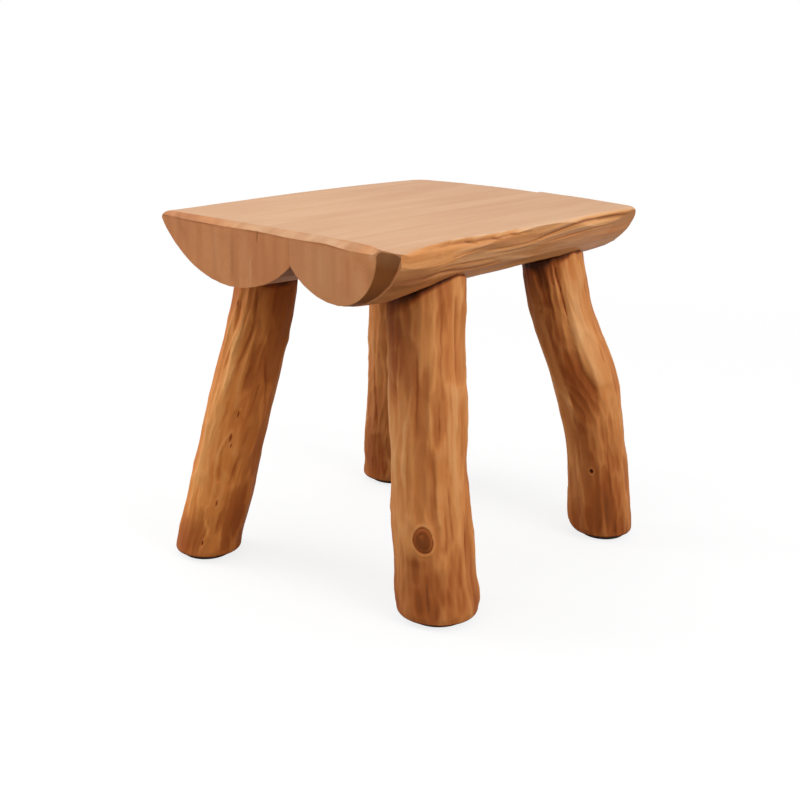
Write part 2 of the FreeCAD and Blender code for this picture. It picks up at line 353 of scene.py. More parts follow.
def cut_once(small, size):
    """Halve the edges that are too long, and turn the thin triangles that this leaves on flat faces."""
    long_edges = [edge for edge in small.edges if edge.calc_length() > size]
    if size < slab_edge:
        long_edges = [edge for edge in long_edges if needs((edge.verts[0].co + edge.verts[1].co) / 2) <= size]
    bmesh.ops.subdivide_edges(small, edges=long_edges, cuts=1)
    bmesh.ops.triangulate(small, faces=[face for face in small.faces if len(face.verts) > 3])
    flat = [edge for edge in small.edges if len(edge.link_faces) == 2 and edge.calc_face_angle(1) < flat_edge]
    bmesh.ops.beautify_fill(small, faces=small.faces, edges=flat)


def cut_small(source):
    """A copy of a measured piece in small triangles, with its crisp edges marked."""
    small = bmesh.new()
    small.from_mesh(source.data)
    bmesh.ops.remove_doubles(small, verts=small.verts, dist=same_point)
    bmesh.ops.dissolve_degenerate(small, edges=small.edges, dist=sliver)
    for size in cutting_sizes:
        cut_once(small, size)
    bmesh.ops.dissolve_degenerate(small, edges=small.edges, dist=sliver)
    bmesh.ops.triangulate(small, faces=[face for face in small.faces if len(face.verts) > 3])
    for face in small.faces:
        face.smooth = True
    for edge in small.edges:
        edge.smooth = len(edge.link_faces) == 2 and edge.calc_face_angle(1) < crisp_edge
    mesh = bpy.data.meshes.new(source.name + "_dressed")
    small.to_mesh(mesh)
    small.free()
    return mesh


small_slabs = {side: cut_small(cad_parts["seat_slab_" + side]) for side in ("left", "right")}
for side, mesh in small_slabs.items():
    print(side, "slab in", len(mesh.polygons), "triangles")

# %% [markdown]
# ### Points and rays
# Two helpers serve the slabs and the legs. Numbers move points fastest when a mesh's points lie in one array, and a
# search tree answers where a ray meets a surface, which is how the pieces are measured below.

# %% Read points, and cast rays
def points_of(mesh):
    """The points and their normals, points in millimetres."""
    count = len(mesh.vertices)
    points = np.empty(count * 3, np.float32)
    normals = np.empty(count * 3, np.float32)
    mesh.vertices.foreach_get("co", points)
    mesh.vertices.foreach_get("normal", normals)
    return points.reshape(-1, 3).astype(float) / mm, normals.reshape(-1, 3).astype(float)


def tree_of(mesh):
    """A search tree of a mesh, for casting rays at it."""
    return BVHTree.FromPolygons([v.co for v in mesh.vertices], [p.vertices for p in mesh.polygons])


for side, mesh in small_slabs.items():
    print(side, "slab's lowest point is %.1f mm up" % points_of(mesh)[0][:, 2].min())

# %% [markdown]
# ### The chamfer and the seam
# The chamfer along the front wavers, as a hand plane does near the end of a board, and dies out near the right
# corner. It could be left even, as the measured one is, but its unevenness is the first sign of hand work on the
# seat. These widths are read across the seat.

# %% Places on the seat
seat_top = 400.0
front_end = -208.0
seam = 29.0
chamfer = 6.0
chamfer_reach = 18.0

# Across the seat: how far the chamfer runs back along the top, and how far it runs down the end
chamfer_back = [(-175, 2), (-128, 3.5), (-86, 6), (-30, 7.7), (20, 9.5), (70, 10.3), (113, 8.5), (136, 5),
                (145, 2), (150, 1), (160, 2.7), (170, 4.6), (178, 6)]
chamfer_down = [(-175, 5), (-130, 6), (-72, 6), (-20, 5.2), (25, 5.9), (80, 4.3), (111, 6.6), (140, 6.5),
                (147, 4), (153, 1)]
print("chamfer runs back up to", max(width for _, width in chamfer_back), "mm")

# %% [markdown]
# ### Where the hand went
# The right slab's rim is chipped and crisp near the front and worn round towards the back, with a split below it.
# The sawn front end has saw marks and a short check. These places are drawn one by one. On the live side, ridges are
# tinted pale and grooves dark, partly as painted highlight and painted shade, and a pale mark with no height is
# painted light and a dark one painted shade.

# %% Marks on the slabs
# Height or depth, width, tint, and the line along the side of the slab as places along the seat and heights
# Ridge tints here are partly painted highlight along the rim, and groove tints partly painted shade
right_side_marks = [
    (0.6, (0.8, 1.6), 0.6, [(-128, 397), (-118, 398), (-106, 399)]),
    (0.7, (0.8, 1.8), 0.7, [(-98, 396), (-88, 398), (-76, 399)]),
    (0.6, (0.8, 1.4), 0.6, [(-66, 396), (-58, 398), (-48, 399)]),
    (0.6, (0.8, 1.6), 0.6, [(-36, 397), (-26, 398), (-14, 399)]),
    (-0.5, (1, 1), -0.4, [(-108, 396), (-99, 394), (-92, 393)]),
    (-0.5, (1, 1), -0.4, [(-74, 396), (-66, 394), (-58, 393)]),
    (-0.4, (1, 1), -0.35, [(-46, 397), (-38, 395), (-28, 394)]),
    (-1.2, (1, 1.8), -0.45, [(-148, 395), (-131, 396), (-94, 395), (-61, 395), (-40, 396), (-10, 395)]),
    (-1.5, (1.4, 1.4), -0.7, [(-22, 381), (0, 384), (16, 387), (32, 390), (46, 392), (62, 394), (84, 395),
                              (116, 394), (145, 394), (168, 394)]),
    (0.9, (2, 2), 0.35, [(-4, 390), (20, 393), (40, 396), (62, 398), (90, 399), (120, 398), (150, 398)]),
    (0.9, (1.5, 1.5), 0.5, [(2, 380), (21, 384), (42, 386), (67, 388), (95, 389), (136, 389), (156, 389)]),
    (-0.9, (1, 1), -0.5, [(20, 378), (60, 381), (110, 384), (150, 385)]),
    (-1, (1.3, 1.3), -0.5, [(-76, 383), (-46, 382), (-30, 382), (-12, 383)]),
    (-1.6, (1.5, 1.5), -0.6, [(-166, 366), (-134, 369), (-98, 366), (-75, 365), (-51, 365), (-35, 366)]),
    (-0.9, (1.1, 1.1), -0.45, [(-150, 373), (-120, 374), (-84, 372), (-50, 371)]),
    (0.7, (3, 2), 0.4, [(-48, 370), (-20, 367), (-3, 365), (22, 362)]),
    (-0.8, (1.2, 1.2), -0.4, [(-124, 382), (-102, 385), (-82, 388)]),
    (0.6, (1.5, 1.5), 0.35, [(-128, 386), (-104, 389), (-70, 391)]),
    (-0.7, (1, 1), -0.35, [(-60, 377), (-30, 376), (4, 378)]),
    # Patches with no height: painted shade where dark and painted light where pale
    (0, (14, 14), -0.42, [(-230, 368), (-170, 368), (-140, 364)]),
    (0, (11, 11), 0.42, [(-120, 380), (-60, 378), (20, 376)]),
    (0, (10, 10), 0.34, [(20, 368), (90, 370), (150, 376)]),
    (0, (8, 6), -0.34, [(110, 394), (160, 394), (230, 392)])]
left_side_marks = [
    (-1.5, (2, 2), -0.6, [(-120, 384), (-70, 380), (-20, 381), (40, 386), (90, 385)]),
    (0.8, (3, 3), 0.4, [(-60, 388), (-10, 389), (50, 392)]),
    (-1.2, (1.6, 1.6), -0.5, [(30, 372), (80, 375), (130, 374)])]

# The same on the front end, as places across the seat and heights
front_end_marks = [
    (0.25, (1, 1.6), 0.35, [(-29, 368), (-29, 352), (-30, 334)]),
    (-0.3, (0.7, 0.7), -0.7, [(-17, 396), (-18, 383)]),
    (-0.15, (3, 3), -0.22, [(-56, 392), (-57, 360), (-58, 338)]),
    (0.1, (4, 4), 0.16, [(-82, 392), (-83, 366), (-80, 340)]),
    (0.1, (3.5, 3.5), 0.14, [(-38, 392), (-39, 370), (-40, 345)]),
    (-0.1, (3.5, 3.5), -0.16, [(-146, 397), (-140, 386), (-130, 372)]),
    (0.1, (6, 6), 0.14, [(72, 390), (75, 365), (78, 344)]),
    (0, (9, 9), -0.2, [(112, 392), (128, 384), (140, 372)]),
    (-0.1, (4, 4), -0.14, [(108, 388), (110, 366), (108, 346)])]

print(len(right_side_marks), "marks on the right side,", len(left_side_marks), "on the left,",
      len(front_end_marks), "on the front end")

# %% [markdown]
# ### The dark corner
# The right front corner carries a dark crescent. It is a bevel, part of a cone: a small circle on the sawn end that
# widens back to the log's round. It could be painted on a square corner, but the real one is cut, and its lower edge
# catches light.

# %% Where the bevel lies
bevel_belly = (94.0, 338.5)
bevel_depth = 6.0
bevel_stain = 5.5
bevel_radius = 50.5
log_radius = 86.0
corner_drop = 3.0
# The crescent's arched top: middle, half width, height, how far the shoulders fall, and how squarely
arch_middle, arch_half, arch_height, arch_fall, arch_power = 158.9, 14.1, 398.3, 6.6, 4.5
arch_end = 1.15  # beyond so many half widths the shoulders fall no further
well_outside = -9.0


def bevel_run(x, z):
    """How far back the bevel lies behind the front end, in millimetres. It is negative inside the small circle."""
    rise = np.maximum(z - bevel_belly[1], 0.1)
    radius = ((x - bevel_belly[0]) ** 2 + rise ** 2) / (2 * rise)
    return bevel_depth * (radius - bevel_radius) / (log_radius - bevel_radius)


run = bevel_run(bevel_belly[0] + log_radius, bevel_belly[1] + log_radius)
print("bevel runs back %.1f mm at the log's round" % run)

# %% [markdown]
# ### Read the cut slabs
# Before a point can move, it has to be known where it lies: outside or in a socket, on the planed top or not, and
# how far in from the live edge. Rays tell. One cast outwards from a point outside meets nothing, or only the same
# rounding close by, and one cast in from the side meets the live edge.

# %% Where each point lies
edge_depth = 9.0  # the live edge is looked for this far below the top
top_skin = 0.02  # and what lies less than this below the top is top


def read_slab(side, out, spine, round_middle, round_radius, seed, marks):
    """Measure one cut slab. Out is 1 on the right and -1 on the left. The spine is the place, across and up, that
    the round side is pushed out from, and the round is the log's own circle."""
    slab = SimpleNamespace(side=side, out=out, spine=spine, seed=seed, marks=marks, mesh=small_slabs[side])
    slab.place, slab.normal = points_of(slab.mesh)
    slab.x, slab.y, slab.z = slab.place.T
    finder = tree_of(slab.mesh)
    edge = []
    stations = np.linspace(front_end + 4, -front_end - 26, 60)
    for station in stations:
        start = Vector((out * 400 * mm, station * mm, (seat_top - edge_depth) * mm))
        edge.append(finder.ray_cast(start, Vector((-out, 0, 0)))[0].x / mm)
    slab.inward = out * (np.interp(slab.y, stations, edge) - slab.x)
    met = [finder.ray_cast(Vector(p * mm + n * 0.3 * mm), Vector(n), 60 * mm)[3]
           for p, n in zip(slab.place, slab.normal)]
    slab.outer = np.array([distance is None or distance < 2 * mm for distance in met])
    slab.top = slab.z > seat_top - top_skin
    slab.on_front = (np.abs(slab.normal[:, 1]) > 0.9) & slab.outer & (slab.y < 0)
    slab.girth = np.arctan2(out * (slab.x - spine[0]), round_middle - slab.z) * round_radius
    return slab


slabs = left_slab, right_slab = (
    read_slab("left", -1, (-60, 392), 471, 138, 3, left_side_marks),
    read_slab("right", 1, (94, 388), bevel_belly[1] + log_radius, log_radius, 5, right_side_marks))
for slab in slabs:
    print(slab.side, "slab has", len(slab.place), "points,", int(slab.outer.sum()), "of them outside")

# %% [markdown]
# ### Peel the round side
# The drawknife left scoops about 17 mm wide and 95 mm long, and the grain stands up a little between them. Each
# point's height is summed up first and moves it later, so that the drawn marks can be added.

# %% Scoops, grain and marks on the round side
slab_scoops = {"width": 17.0, "length": 95.0, "depth": 0.9, "crisp": 7}
tip_tuck = 1.1  # the right tip is drawn in by this
end_grain_tint = 0.16
# How much painted shade darkens the top towards the back
top_painted_shade = 0.07


def peel(slab):
    """Sum up the height of the round side's skin, and start its tint."""
    place, y, z, seed = slab.place, slab.y, slab.z, slab.seed
    slow = place * [1, 0.35, 1]
    lean = 5.0 * wander(slow, 40, seed)
    height = scoops(slab.girth + lean, y, seed + 10, **slab_scoops)
    height += 0.7 * wander(slow, 30, seed + 20) + 0.4 * wander(place * [1, 0.1, 1], 6, seed + 30)
    height += 0.15 * wander(place * [1, 0.08, 1], 2.8, seed + 31)
    near_rim = slab.outer * ease(z, seat_top - 9, seat_top - 2) * (1 - ease(slab.inward, 4, 12))
    height += 0.9 * near_rim * wander(place * [0.2, 1, 0.2], 15, seed + 32) * (1 - ease(y, -40, 40))
    height -= tip_tuck * ease(y, 120, 185) * ease(z, 387, 375) * ease(z, 340, 356) * (slab.out > 0)
    slab.height = height
    slab.tint = np.where(slab.on_front & (slab.out > 0), end_grain_tint, 0.0)
    # Painted shade: the top darkens towards the back, as the light falls off there
    slab.tint -= top_painted_shade * ease(y, -90, 150) * ease(z, seat_top - 4, seat_top)


def draw_side_marks(slab):
    """Add the drawn marks of the live side to the height and the tint."""
    on_side = slab.outer * ease(slab.inward, 40, 22) * np.where(slab.top, 1 - ease(slab.inward, 1, 4), 1.0)
    for lift, width, shade, line in slab.marks:
        near = stroke(slab.z, slab.y, [(up, along) for along, up in line], width)
        slab.height += lift * near * on_side
        slab.tint += shade * near * on_side


for slab in slabs:
    peel(slab)
    draw_side_marks(slab)
    print(slab.side, "slab: its skin lies from %.1f to %.1f mm" % (slab.height.min(), slab.height.max()))

# %% [markdown]
# ### Push the skin out, and square the rim
# The round side moves away from the slab's spine by its height. The jointed side and the flat top stay, so the skin
# calms down towards them, and towards both ends, where the cuts of the real slab are shallow too. The measured rim
# is evenly rounded. On the right slab it is pulled out to a crisp edge as far back as hands have not worn it.

# %% Move the round side
rim_round = 7.0
rim_crispness = 0.85
rim_worn = (-30, 20)


def push_skin(slab):
    """Move the round side's points away from the spine. The result is how far each went."""
    from_spine = np.stack([slab.x - slab.spine[0], slab.z - slab.spine[1]], axis=-1)
    away = from_spine / np.linalg.norm(from_spine, axis=1, keepdims=True)
    live = slab.outer * ease(slab.out * (slab.x - seam), 3, 16)
    live = live * np.where(slab.top, 1 - ease(slab.inward, 1, 12), 1.0)
    live *= np.where(slab.normal[:, 1] < -0.9, 0.35 + 0.65 * ease(slab.y, front_end, front_end + 8), 1.0)
    calm = (0.3 + 0.7 * ease(slab.y, front_end, front_end + 26)) * (1 - 0.5 * ease(slab.y, 140, 190))
    push = slab.height * live * calm
    slab.moved = slab.place.copy()
    slab.moved[:, 0] += push * away[:, 0]
    slab.moved[:, 2] += np.where(slab.top, 0, push * away[:, 1])
    return push


def square_rim(slab):
    """Pull a crisp rim out of the rounded one."""
    rim = np.stack([1 - slab.inward / rim_round, 1 - (seat_top - slab.z) / rim_round], axis=-1)
    in_rim = (rim.min(axis=1) > 0) & slab.outer
    crisp = rim_crispness * (1 - ease(slab.y, *rim_worn)) * ease(slab.y, -185, -155)
    square = np.clip(1 / np.maximum(rim.max(axis=1), 0.3), 1, 1.45) ** crisp
    slab.moved[:, 0] += np.where(in_rim, slab.out * rim_round * rim[:, 0] * (square - 1), 0)
    slab.moved[:, 2] += np.where(in_rim, rim_round * rim[:, 1] * (square - 1), 0)


for slab in slabs:
    push = push_skin(slab)
    print(slab.side, "slab: marks move it from %.1f to %.1f mm" % (push.min(), push.max()))
square_rim(right_slab)

# %% [markdown]
# ### Ends and top
# The sawn ends are nearly flat, so their marks are fractions of a millimetre and show mainly as tint. The top was
# planed by hand and dips by up to 0.4 mm. Under the seat, the valley between the two logs is darkened as painted
# shade.

# %% Work the ends and the top
valley_width = 24.0
valley_painted_shade = 0.6


def work_ends(slab):
    """Waver the back end, draw the front end's marks, dip the top, and paint shade into the valley under the seam."""
    place, moved = slab.place, slab.moved
    back_end = slab.outer * ease(slab.normal[:, 1], 0.3, 0.9)
    moved[:, 1] += back_end * (0.5 * wander(place, [22, 40, 22], 40) + 0.2 * wander(place, [3, 9, 9], 41))
    for lift, width, shade, line in front_end_marks:
        near = stroke(slab.x, slab.z, line, width) * slab.on_front
        moved[:, 1] -= lift * near
        slab.tint += shade * near
    planed = slab.outer * ease(slab.z, seat_top - 4, seat_top - 0.5)
    moved[:, 2] += planed * (0.2 * wander(place * [1, 0.35, 1], [46, 90, 46], 50) - 0.2)
    # Painted shade in the valley between the two logs under the seat
    valley = slab.outer * (slab.normal[:, 2] < -0.2) * np.exp(-((slab.x - seam) / valley_width) ** 2)
    slab.tint -= valley_painted_shade * valley * ease(slab.y, front_end, front_end + 2.5)


for slab in slabs:
    work_ends(slab)
    print(slab.side, "slab's front end lies from %.1f mm" % slab.moved[:, 1].min())

# %% [markdown]
# ### Waver the chamfer
# The measured chamfer is 6 mm each way. Its points, and those behind it up to 18 mm, are stretched or squeezed to
# the widths given above, so no new edge has to be cut. Its lower edge took more oil, as cut end grain does.

# %% Work the chamfer
def wander_across(x, size, seed):
    """Noise that differs only across the seat."""
    return wander(np.stack([x, 0 * x, 0 * x], axis=-1), size, seed)


def work_chamfer(slab):
    """Stretch the chamfer to its uneven widths, and tint it."""
    x, y = slab.x, slab.y
    back, down = y - front_end, seat_top - slab.z
    slab.on_chamfer = (back < chamfer + 0.01) & (down < chamfer + 0.01) & slab.outer
    mottle = wander(np.stack([x, y, 0 * x], axis=-1), 9, 78)
    slab.tint -= np.where(slab.on_chamfer, 0.10 + 0.12 * mottle, 0)
    # A painted highlight on the chamfer near the right corner
    slab.tint += 0.3 * slab.on_chamfer * ease(x, 118, 142) * (1 - ease(x, 150, 156))
    lower_edge = (back < 0.3) * np.exp(-((down - chamfer - 0.8) / 1.0) ** 2) * (1 - ease(x, 128, 146))
    slab.tint -= lower_edge * (0.22 + 0.2 * wander_across(x, 14, 79))
    waver = 0.5 * wander_across(x, 26, 77) * (1 - ease(x, 130, 148))
    for amount, reach, other, sign, axis in ((chamfer_back, back, down, 1, 1), (chamfer_down, down, back, -1, 2)):
        wanted = np.interp(x, *np.array(amount, float).T) + waver
        share = np.clip(np.minimum(reach / chamfer, (chamfer_reach - reach) / (chamfer_reach - chamfer)), 0, 1)
        slab.moved[:, axis] += sign * (wanted - chamfer) * share * (1 - ease(other, chamfer, chamfer_reach))


for slab in slabs:
    work_chamfer(slab)
    print(slab.side, "slab has", int(slab.on_chamfer.sum()), "points on its chamfer")

# %% [markdown]
# ### Cut the dark bevel
# Points of the corner move back onto the cone, and each keeps how far inside the bevel it lies. The stain has its own
# arched top a little below the chamfer. Along its edge a fine pale line is painted highlight on the arris.

# %% Cut the bevel on the right slab
def cut_bevel(slab):
    """Move the corner onto the cone, mark what lies inside the bevel, paint highlights on its arris and along the
    rim's top, and drop the corner a little.
    """
    x, y, z, moved = slab.x, slab.y, slab.z, slab.moved
    on_bevel = (x > bevel_belly[0]) & (np.abs(y - front_end - bevel_run(x, z)) < 0.2) & slab.outer
    share = np.where(on_bevel, ease(z, 350, 365), slab.on_chamfer * ease(x, 143, 152))
    run = bevel_run(moved[:, 0], moved[:, 2])
    moved[:, 1] += share * (front_end + np.maximum(run, 0) - moved[:, 1])
    aside = np.minimum(np.abs((moved[:, 0] - arch_middle) / arch_half), arch_end)
    arch = arch_height - arch_fall * aside ** arch_power - moved[:, 2]
    behind = 0.7 - 4 * np.maximum(y - front_end - bevel_stain, 0)
    inside = np.clip(np.minimum(np.minimum(2 * run, behind), arch), well_outside, -well_outside)
    slab.inside_bevel = np.where(x > bevel_belly[0], inside, well_outside)
    # Painted highlight along the arris of the bevel
    arris_painted_highlight = np.exp(-((run + 0.7) / 0.5) ** 2) * ease(z, 384, 396) * (y < front_end + 1) * (x > 130)
    slab.tint += 0.3 * slab.outer * arris_painted_highlight
    moved[:, 2] -= corner_drop * ease(x, 136, 172) * ease(y, -176, -207) * ease(z, 384, 400)
    # Painted highlight: paler along the top of the rounded rim towards the back
    slab.tint += 0.3 * slab.outer * ease(slab.inward, 7, 2) * ease(z, 396, 399) * ease(y, -30, 10)


cut_bevel(right_slab)
left_slab.inside_bevel = np.full(len(left_slab.place), well_outside)
print(int((right_slab.inside_bevel > 0).sum()), "points lie inside the dark bevel")

# %% [markdown]
# ### Put the slabs on the stool
# The moved points go back into each mesh, and the mesh takes the measured slab's place. No point may rise above the
# measured seat, because that is the face on which things are put.

# %% Put the slabs on the stool
slab_pieces = {}
for slab in slabs:
    slab.moved[:, 2] = np.minimum(slab.moved[:, 2], seat_top)
    slab.mesh.vertices.foreach_set("co", np.ascontiguousarray(slab.moved * mm, np.float32).ravel())
    slab.mesh.update()
    keep_on(slab.mesh, slab.place, np.clip(slab.tint, -1, 1), slab.inside_bevel)
    piece = bpy.data.objects.new("seat_slab_" + slab.side + "_dressed", slab.mesh)
    bpy.context.scene.collection.objects.link(piece)
    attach(piece, "root")
    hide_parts("seat_slab_" + slab.side)
    slab_pieces[slab.side] = piece
    print(piece.name, "rises to %.2f mm" % slab.moved[:, 2].max())

# %% [markdown]
# ### Finish of the slabs
# The slabs are a pale, even wood under oil, worked in three ways. Peeled wood is orange and glows where the oil sank
# in. Planed wood is paler and pinker, with growth lines along the board that show as soft streaks. The sawn end
# drank most oil and shows upright bands where the saw met harder and softer wood. The bevel is the sawn wood's
# pattern in a dark brown. It could be a second material, but its edge would then follow the triangles.

# %% Oiled slab wood and the dark bevel
# The pale worn colour serves both wear and painted highlight, and the dark groove colour both grooves and painted
# shade.
peeled_chart = {
    "warm": "#da8f52", "light": "#e8aa6d", "growth": "#c67b40", "fibre": "#d0844a", "pores": "#9c5a2a",
    "worn_and_lit": "#e6b688", "deep": "#96582d", "groove_and_shade": "#54290f", "shares": (0.55, 0.4, 0.35)}
planed_chart = {
    "warm": "#c89a74", "light": "#cfa47e", "growth": "#c18e68", "fibre": "#c5946c", "pores": "#b07c56",
    "shares": (0.45, 0.3, 0.2)}
sawn_chart = {
    "warm": "#c98250", "light": "#d8925e", "growth": "#c47d4b", "fibre": "#bf7645", "pores": "#b06c3e",
    "shares": (0.3, 0.3, 0.15)}
bevel_chart = {
    "warm": "#80461a", "light": "#8c5222", "growth": "#784217", "fibre": "#7d461b", "pores": "#693712",
    "shares": (0.3, 0.3, 0.2)}
# Sizes in millimetres, across and along the log. A plank from a log this thick changes colour over 30 to 40 mm, its
# growth lines lie up to 10 mm apart on the flat and run its whole length, and the saw's bands are as wide as these.
# Wood fibres are about 0.03 mm thick and pores 0.2 mm, too fine to show where a pixel covers 0.8 mm, so the fibre
# is drawn in bundles of 1.5 mm and the pores 0.9 mm wide, as coarse as they need to be to show.
# Raised is how far the grain stands up, and shine and rough are those of oil on planed and peeled wood.
slab_sizes = {
    "drift": (34, 170), "growth": (9, 330), "fibre": (1.5, 80), "pores": (0.9, 16), "band": (13, 90),
    "speck": (1.1, 2.2), "raised": 0.08, "shine": 0.14, "rough": (0.48, 0.58)}
slab_wood = oiled_wood("oiled_slab_wood", peeled_chart, slab_sizes, 1, planed_chart, sawn_chart, bevel_chart)
for piece in slab_pieces.values():
    piece.data.materials.clear()
    piece.data.materials.append(slab_wood)
print("slabs are finished in", slab_wood.name)

# %% [markdown]
# ## The legs
# Each leg is a peeled branch. The measured leg gives its line and girth, which are read back with level rays from
# inside it. A new skin is then grown round that line, ring by ring, because rings give an even net of points to carry
# scoops, ridges, scars and a knot. The top of each column of points stops just under the slab, as a scribed shoulder
# does, so the joint follows the round log.

# %% The line and girth of a measured leg
foot_height = 6.0
foot_round = 3.0
tenon_radius = 17.0
scribe_gap = 0.8
joint_round = 1.8
ring_step = 4
last_ring = 328
rays_round = 12


def branch_line(name):
    """Heights, middles and radii of a measured leg, in millimetres."""
    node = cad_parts["leg_" + name]
    finder = tree_of(node.data)
    low, high = (np.array(corner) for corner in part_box("foot_pad_" + name))
    middle = Vector((low + high) / 2)
    rows = []
    for height in np.arange(foot_height + ring_step, last_ring, ring_step):
        for attempt in range(4):  # each try starts nearer the branch's middle
            hits = []
            for turn in np.arange(0, 2 * math.pi, 2 * math.pi / rays_round):
                start = Vector((middle.x, middle.y, height * mm))
                hits.append(finder.ray_cast(start, Vector((math.cos(turn), math.sin(turn), 0)))[0])
            middle = sum(hits, Vector()) / len(hits)
        radius = sum((hit - middle).length for hit in hits) / len(hits)
        rows.append((height, middle.x / mm, middle.y / mm, radius / mm))
    return np.array(rows)


def along_branch(rows, height):
    """Middle and radius at any height. Above the last ring the branch goes straight on."""
    slope = (rows[-1] - rows[-6]) / (rows[-1, 0] - rows[-6, 0])
    beyond = np.maximum(height - rows[-1, 0], 0)
    below = np.maximum(rows[0, 0] - height, 0)
    foot = (rows[3] - rows[0]) / (rows[3, 0] - rows[0, 0])
    middle_x = np.interp(height, rows[:, 0], rows[:, 1]) + beyond * slope[1] - below * foot[1]
    middle_y = np.interp(height, rows[:, 0], rows[:, 2]) + beyond * slope[2] - below * foot[2]
    return middle_x, middle_y, np.interp(height, rows[:, 0], rows[:, 3])


branch_lines = {name: branch_line(name) for name in ("front_left", "front_right", "back_right", "back_left")}
for name, rows in branch_lines.items():
    print(name, "is %.0f mm thick at the foot and %.0f mm at the top" % (2 * rows[0, 3], 2 * rows[-1, 3]))

# %% [markdown]
# ### Marks on each leg
# Marks are drawn as lines of height above the floor and angle round the leg, where 0 degrees looks to the
# right of the stool and -90 degrees looks to the front. A plus height is a ridge and a minus height is a groove.
# Most marks with no height are patches of painted shade where dark and painted light where pale.

# %% Marks on the front left leg
# Height or depth, widths on both sides, tint, and the line as heights and angles
front_left_marks = [
    (1.4, (4.5, 1.2), 0.55, [(326, -75), (300, -72), (281, -74), (264, -77), (246, -80), (230, -80), (206, -77)]),
    (-1.4, (3.5, 0.9), -0.45, [(314, -88), (290, -89), (273, -91), (255, -95), (238, -100), (210, -98)]),
    (-1.8, (0.9, 4), -0.6, [(324, -58), (300, -57), (285, -54), (272, -57), (258, -60), (245, -64), (222, -71)]),
    (1.2, (3.4, 0.9), 0.5, [(294, -46), (265, -47), (250, -50), (236, -52), (220, -52), (204, -51), (184, -50)]),
    (-1.6, (0.9, 8), -0.45, [(266, -42), (232, -44), (214, -45), (186, -44)]),
    (1, (3, 0.9), 0.4, [(212, -29), (192, -30), (176, -31)]),
    (1.2, (1.5, 1.3), 0.6, [(164, -45), (155, -52), (144, -59), (133, -62), (120, -60),
                              (108, -60), (97, -56), (84, -51)]),
    (-0.9, (1.2, 4), -0.3, [(150, -52), (134, -58), (116, -56), (100, -53)]),
    (1.1, (1.6, 1.3), 0.55, [(72, -61), (55, -61), (44, -53), (30, -45)]),
    (0.8, (1.6, 1.6), 0.4, [(48, -32), (24, -26), (8, -22)]),
    (-1.3, (0.9, 4), -0.5, [(137, -24), (116, -28), (96, -33)]),
    (0.9, (3.5, 0.9), 0.35, [(127, -15), (104, -19), (86, -24)]),
    (-0.9, (1.5, 1.5), -0.5, [(248, -19), (212, -4), (188, 5), (164, 10)]),
    (-0.7, (2.5, 4), -0.35, [(166, -15), (150, -19), (134, -26)]),
    (0.9, (3.5, 0.9), 0.35, [(122, -98), (96, -100), (74, -97), (52, -96)]),
    (-0.8, (1.2, 2.4), -0.35, [(110, -86), (80, -88), (50, -85)]),
    (0.6, (2, 2), 0.25, [(96, -78), (70, -77), (40, -74)]),
    (1, (3, 0.8), 0.4, [(296, -104), (272, -106), (250, -109)]),
    (-1, (0.8, 3), -0.4, [(262, -88), (246, -91), (228, -94)]),
    (1, (3.2, 0.8), 0.4, [(238, -68), (220, -71), (198, -75)]),
    (0.9, (3, 0.8), 0.4, [(214, -92), (196, -94), (176, -96)]),
    (-0.9, (0.8, 3), -0.4, [(196, -66), (178, -68), (160, -72)]),
    (0.9, (3, 0.8), 0.35, [(176, -82), (158, -84), (138, -86)]),
    (1, (2.6, 0.8), 0.4, [(270, -24), (246, -28), (226, -30)]),
    (-0.9, (0.8, 3), -0.4, [(216, -18), (196, -20), (176, -24)]),
    (0.8, (2.6, 0.8), 0.35, [(98, -38), (84, -40), (68, -42)]),
    (-0.8, (0.8, 2.6), -0.35, [(66, -36), (50, -38), (34, -38)])]
# Broad patches of painted shade, and one of painted light, with no height
front_left_marks += [
    (0, (18, 24), -0.16, [(345, -20), (290, -22), (240, -14), (200, -2)]),
    (0, (12, 18), -0.16, [(230, 8), (150, 14), (90, 8), (10, 2)]),
    (0, (18, 18), 0.5, [(300, -92), (190, -88), (120, -92), (50, -98)])]
# Scars of thin twigs: height and angle, half width, half length and depth
front_left_scars = [
    (181, -43, 0.9, 4.5, 0.8), (153, -47, 1.5, 5, 1.1), (144, -43, 0.8, 3, 0.8), (75, -46, 1, 4, 0.9),
    (25, -55, 1, 3.2, 1), (304, -96, 0.8, 4, 0.9)]
print(len(front_left_marks), "marks and", len(front_left_scars), "scars on the front left leg")

# %% [markdown]
# The front right leg is the thickest and smoothest branch, with long fine cracks on its right and a big knot.

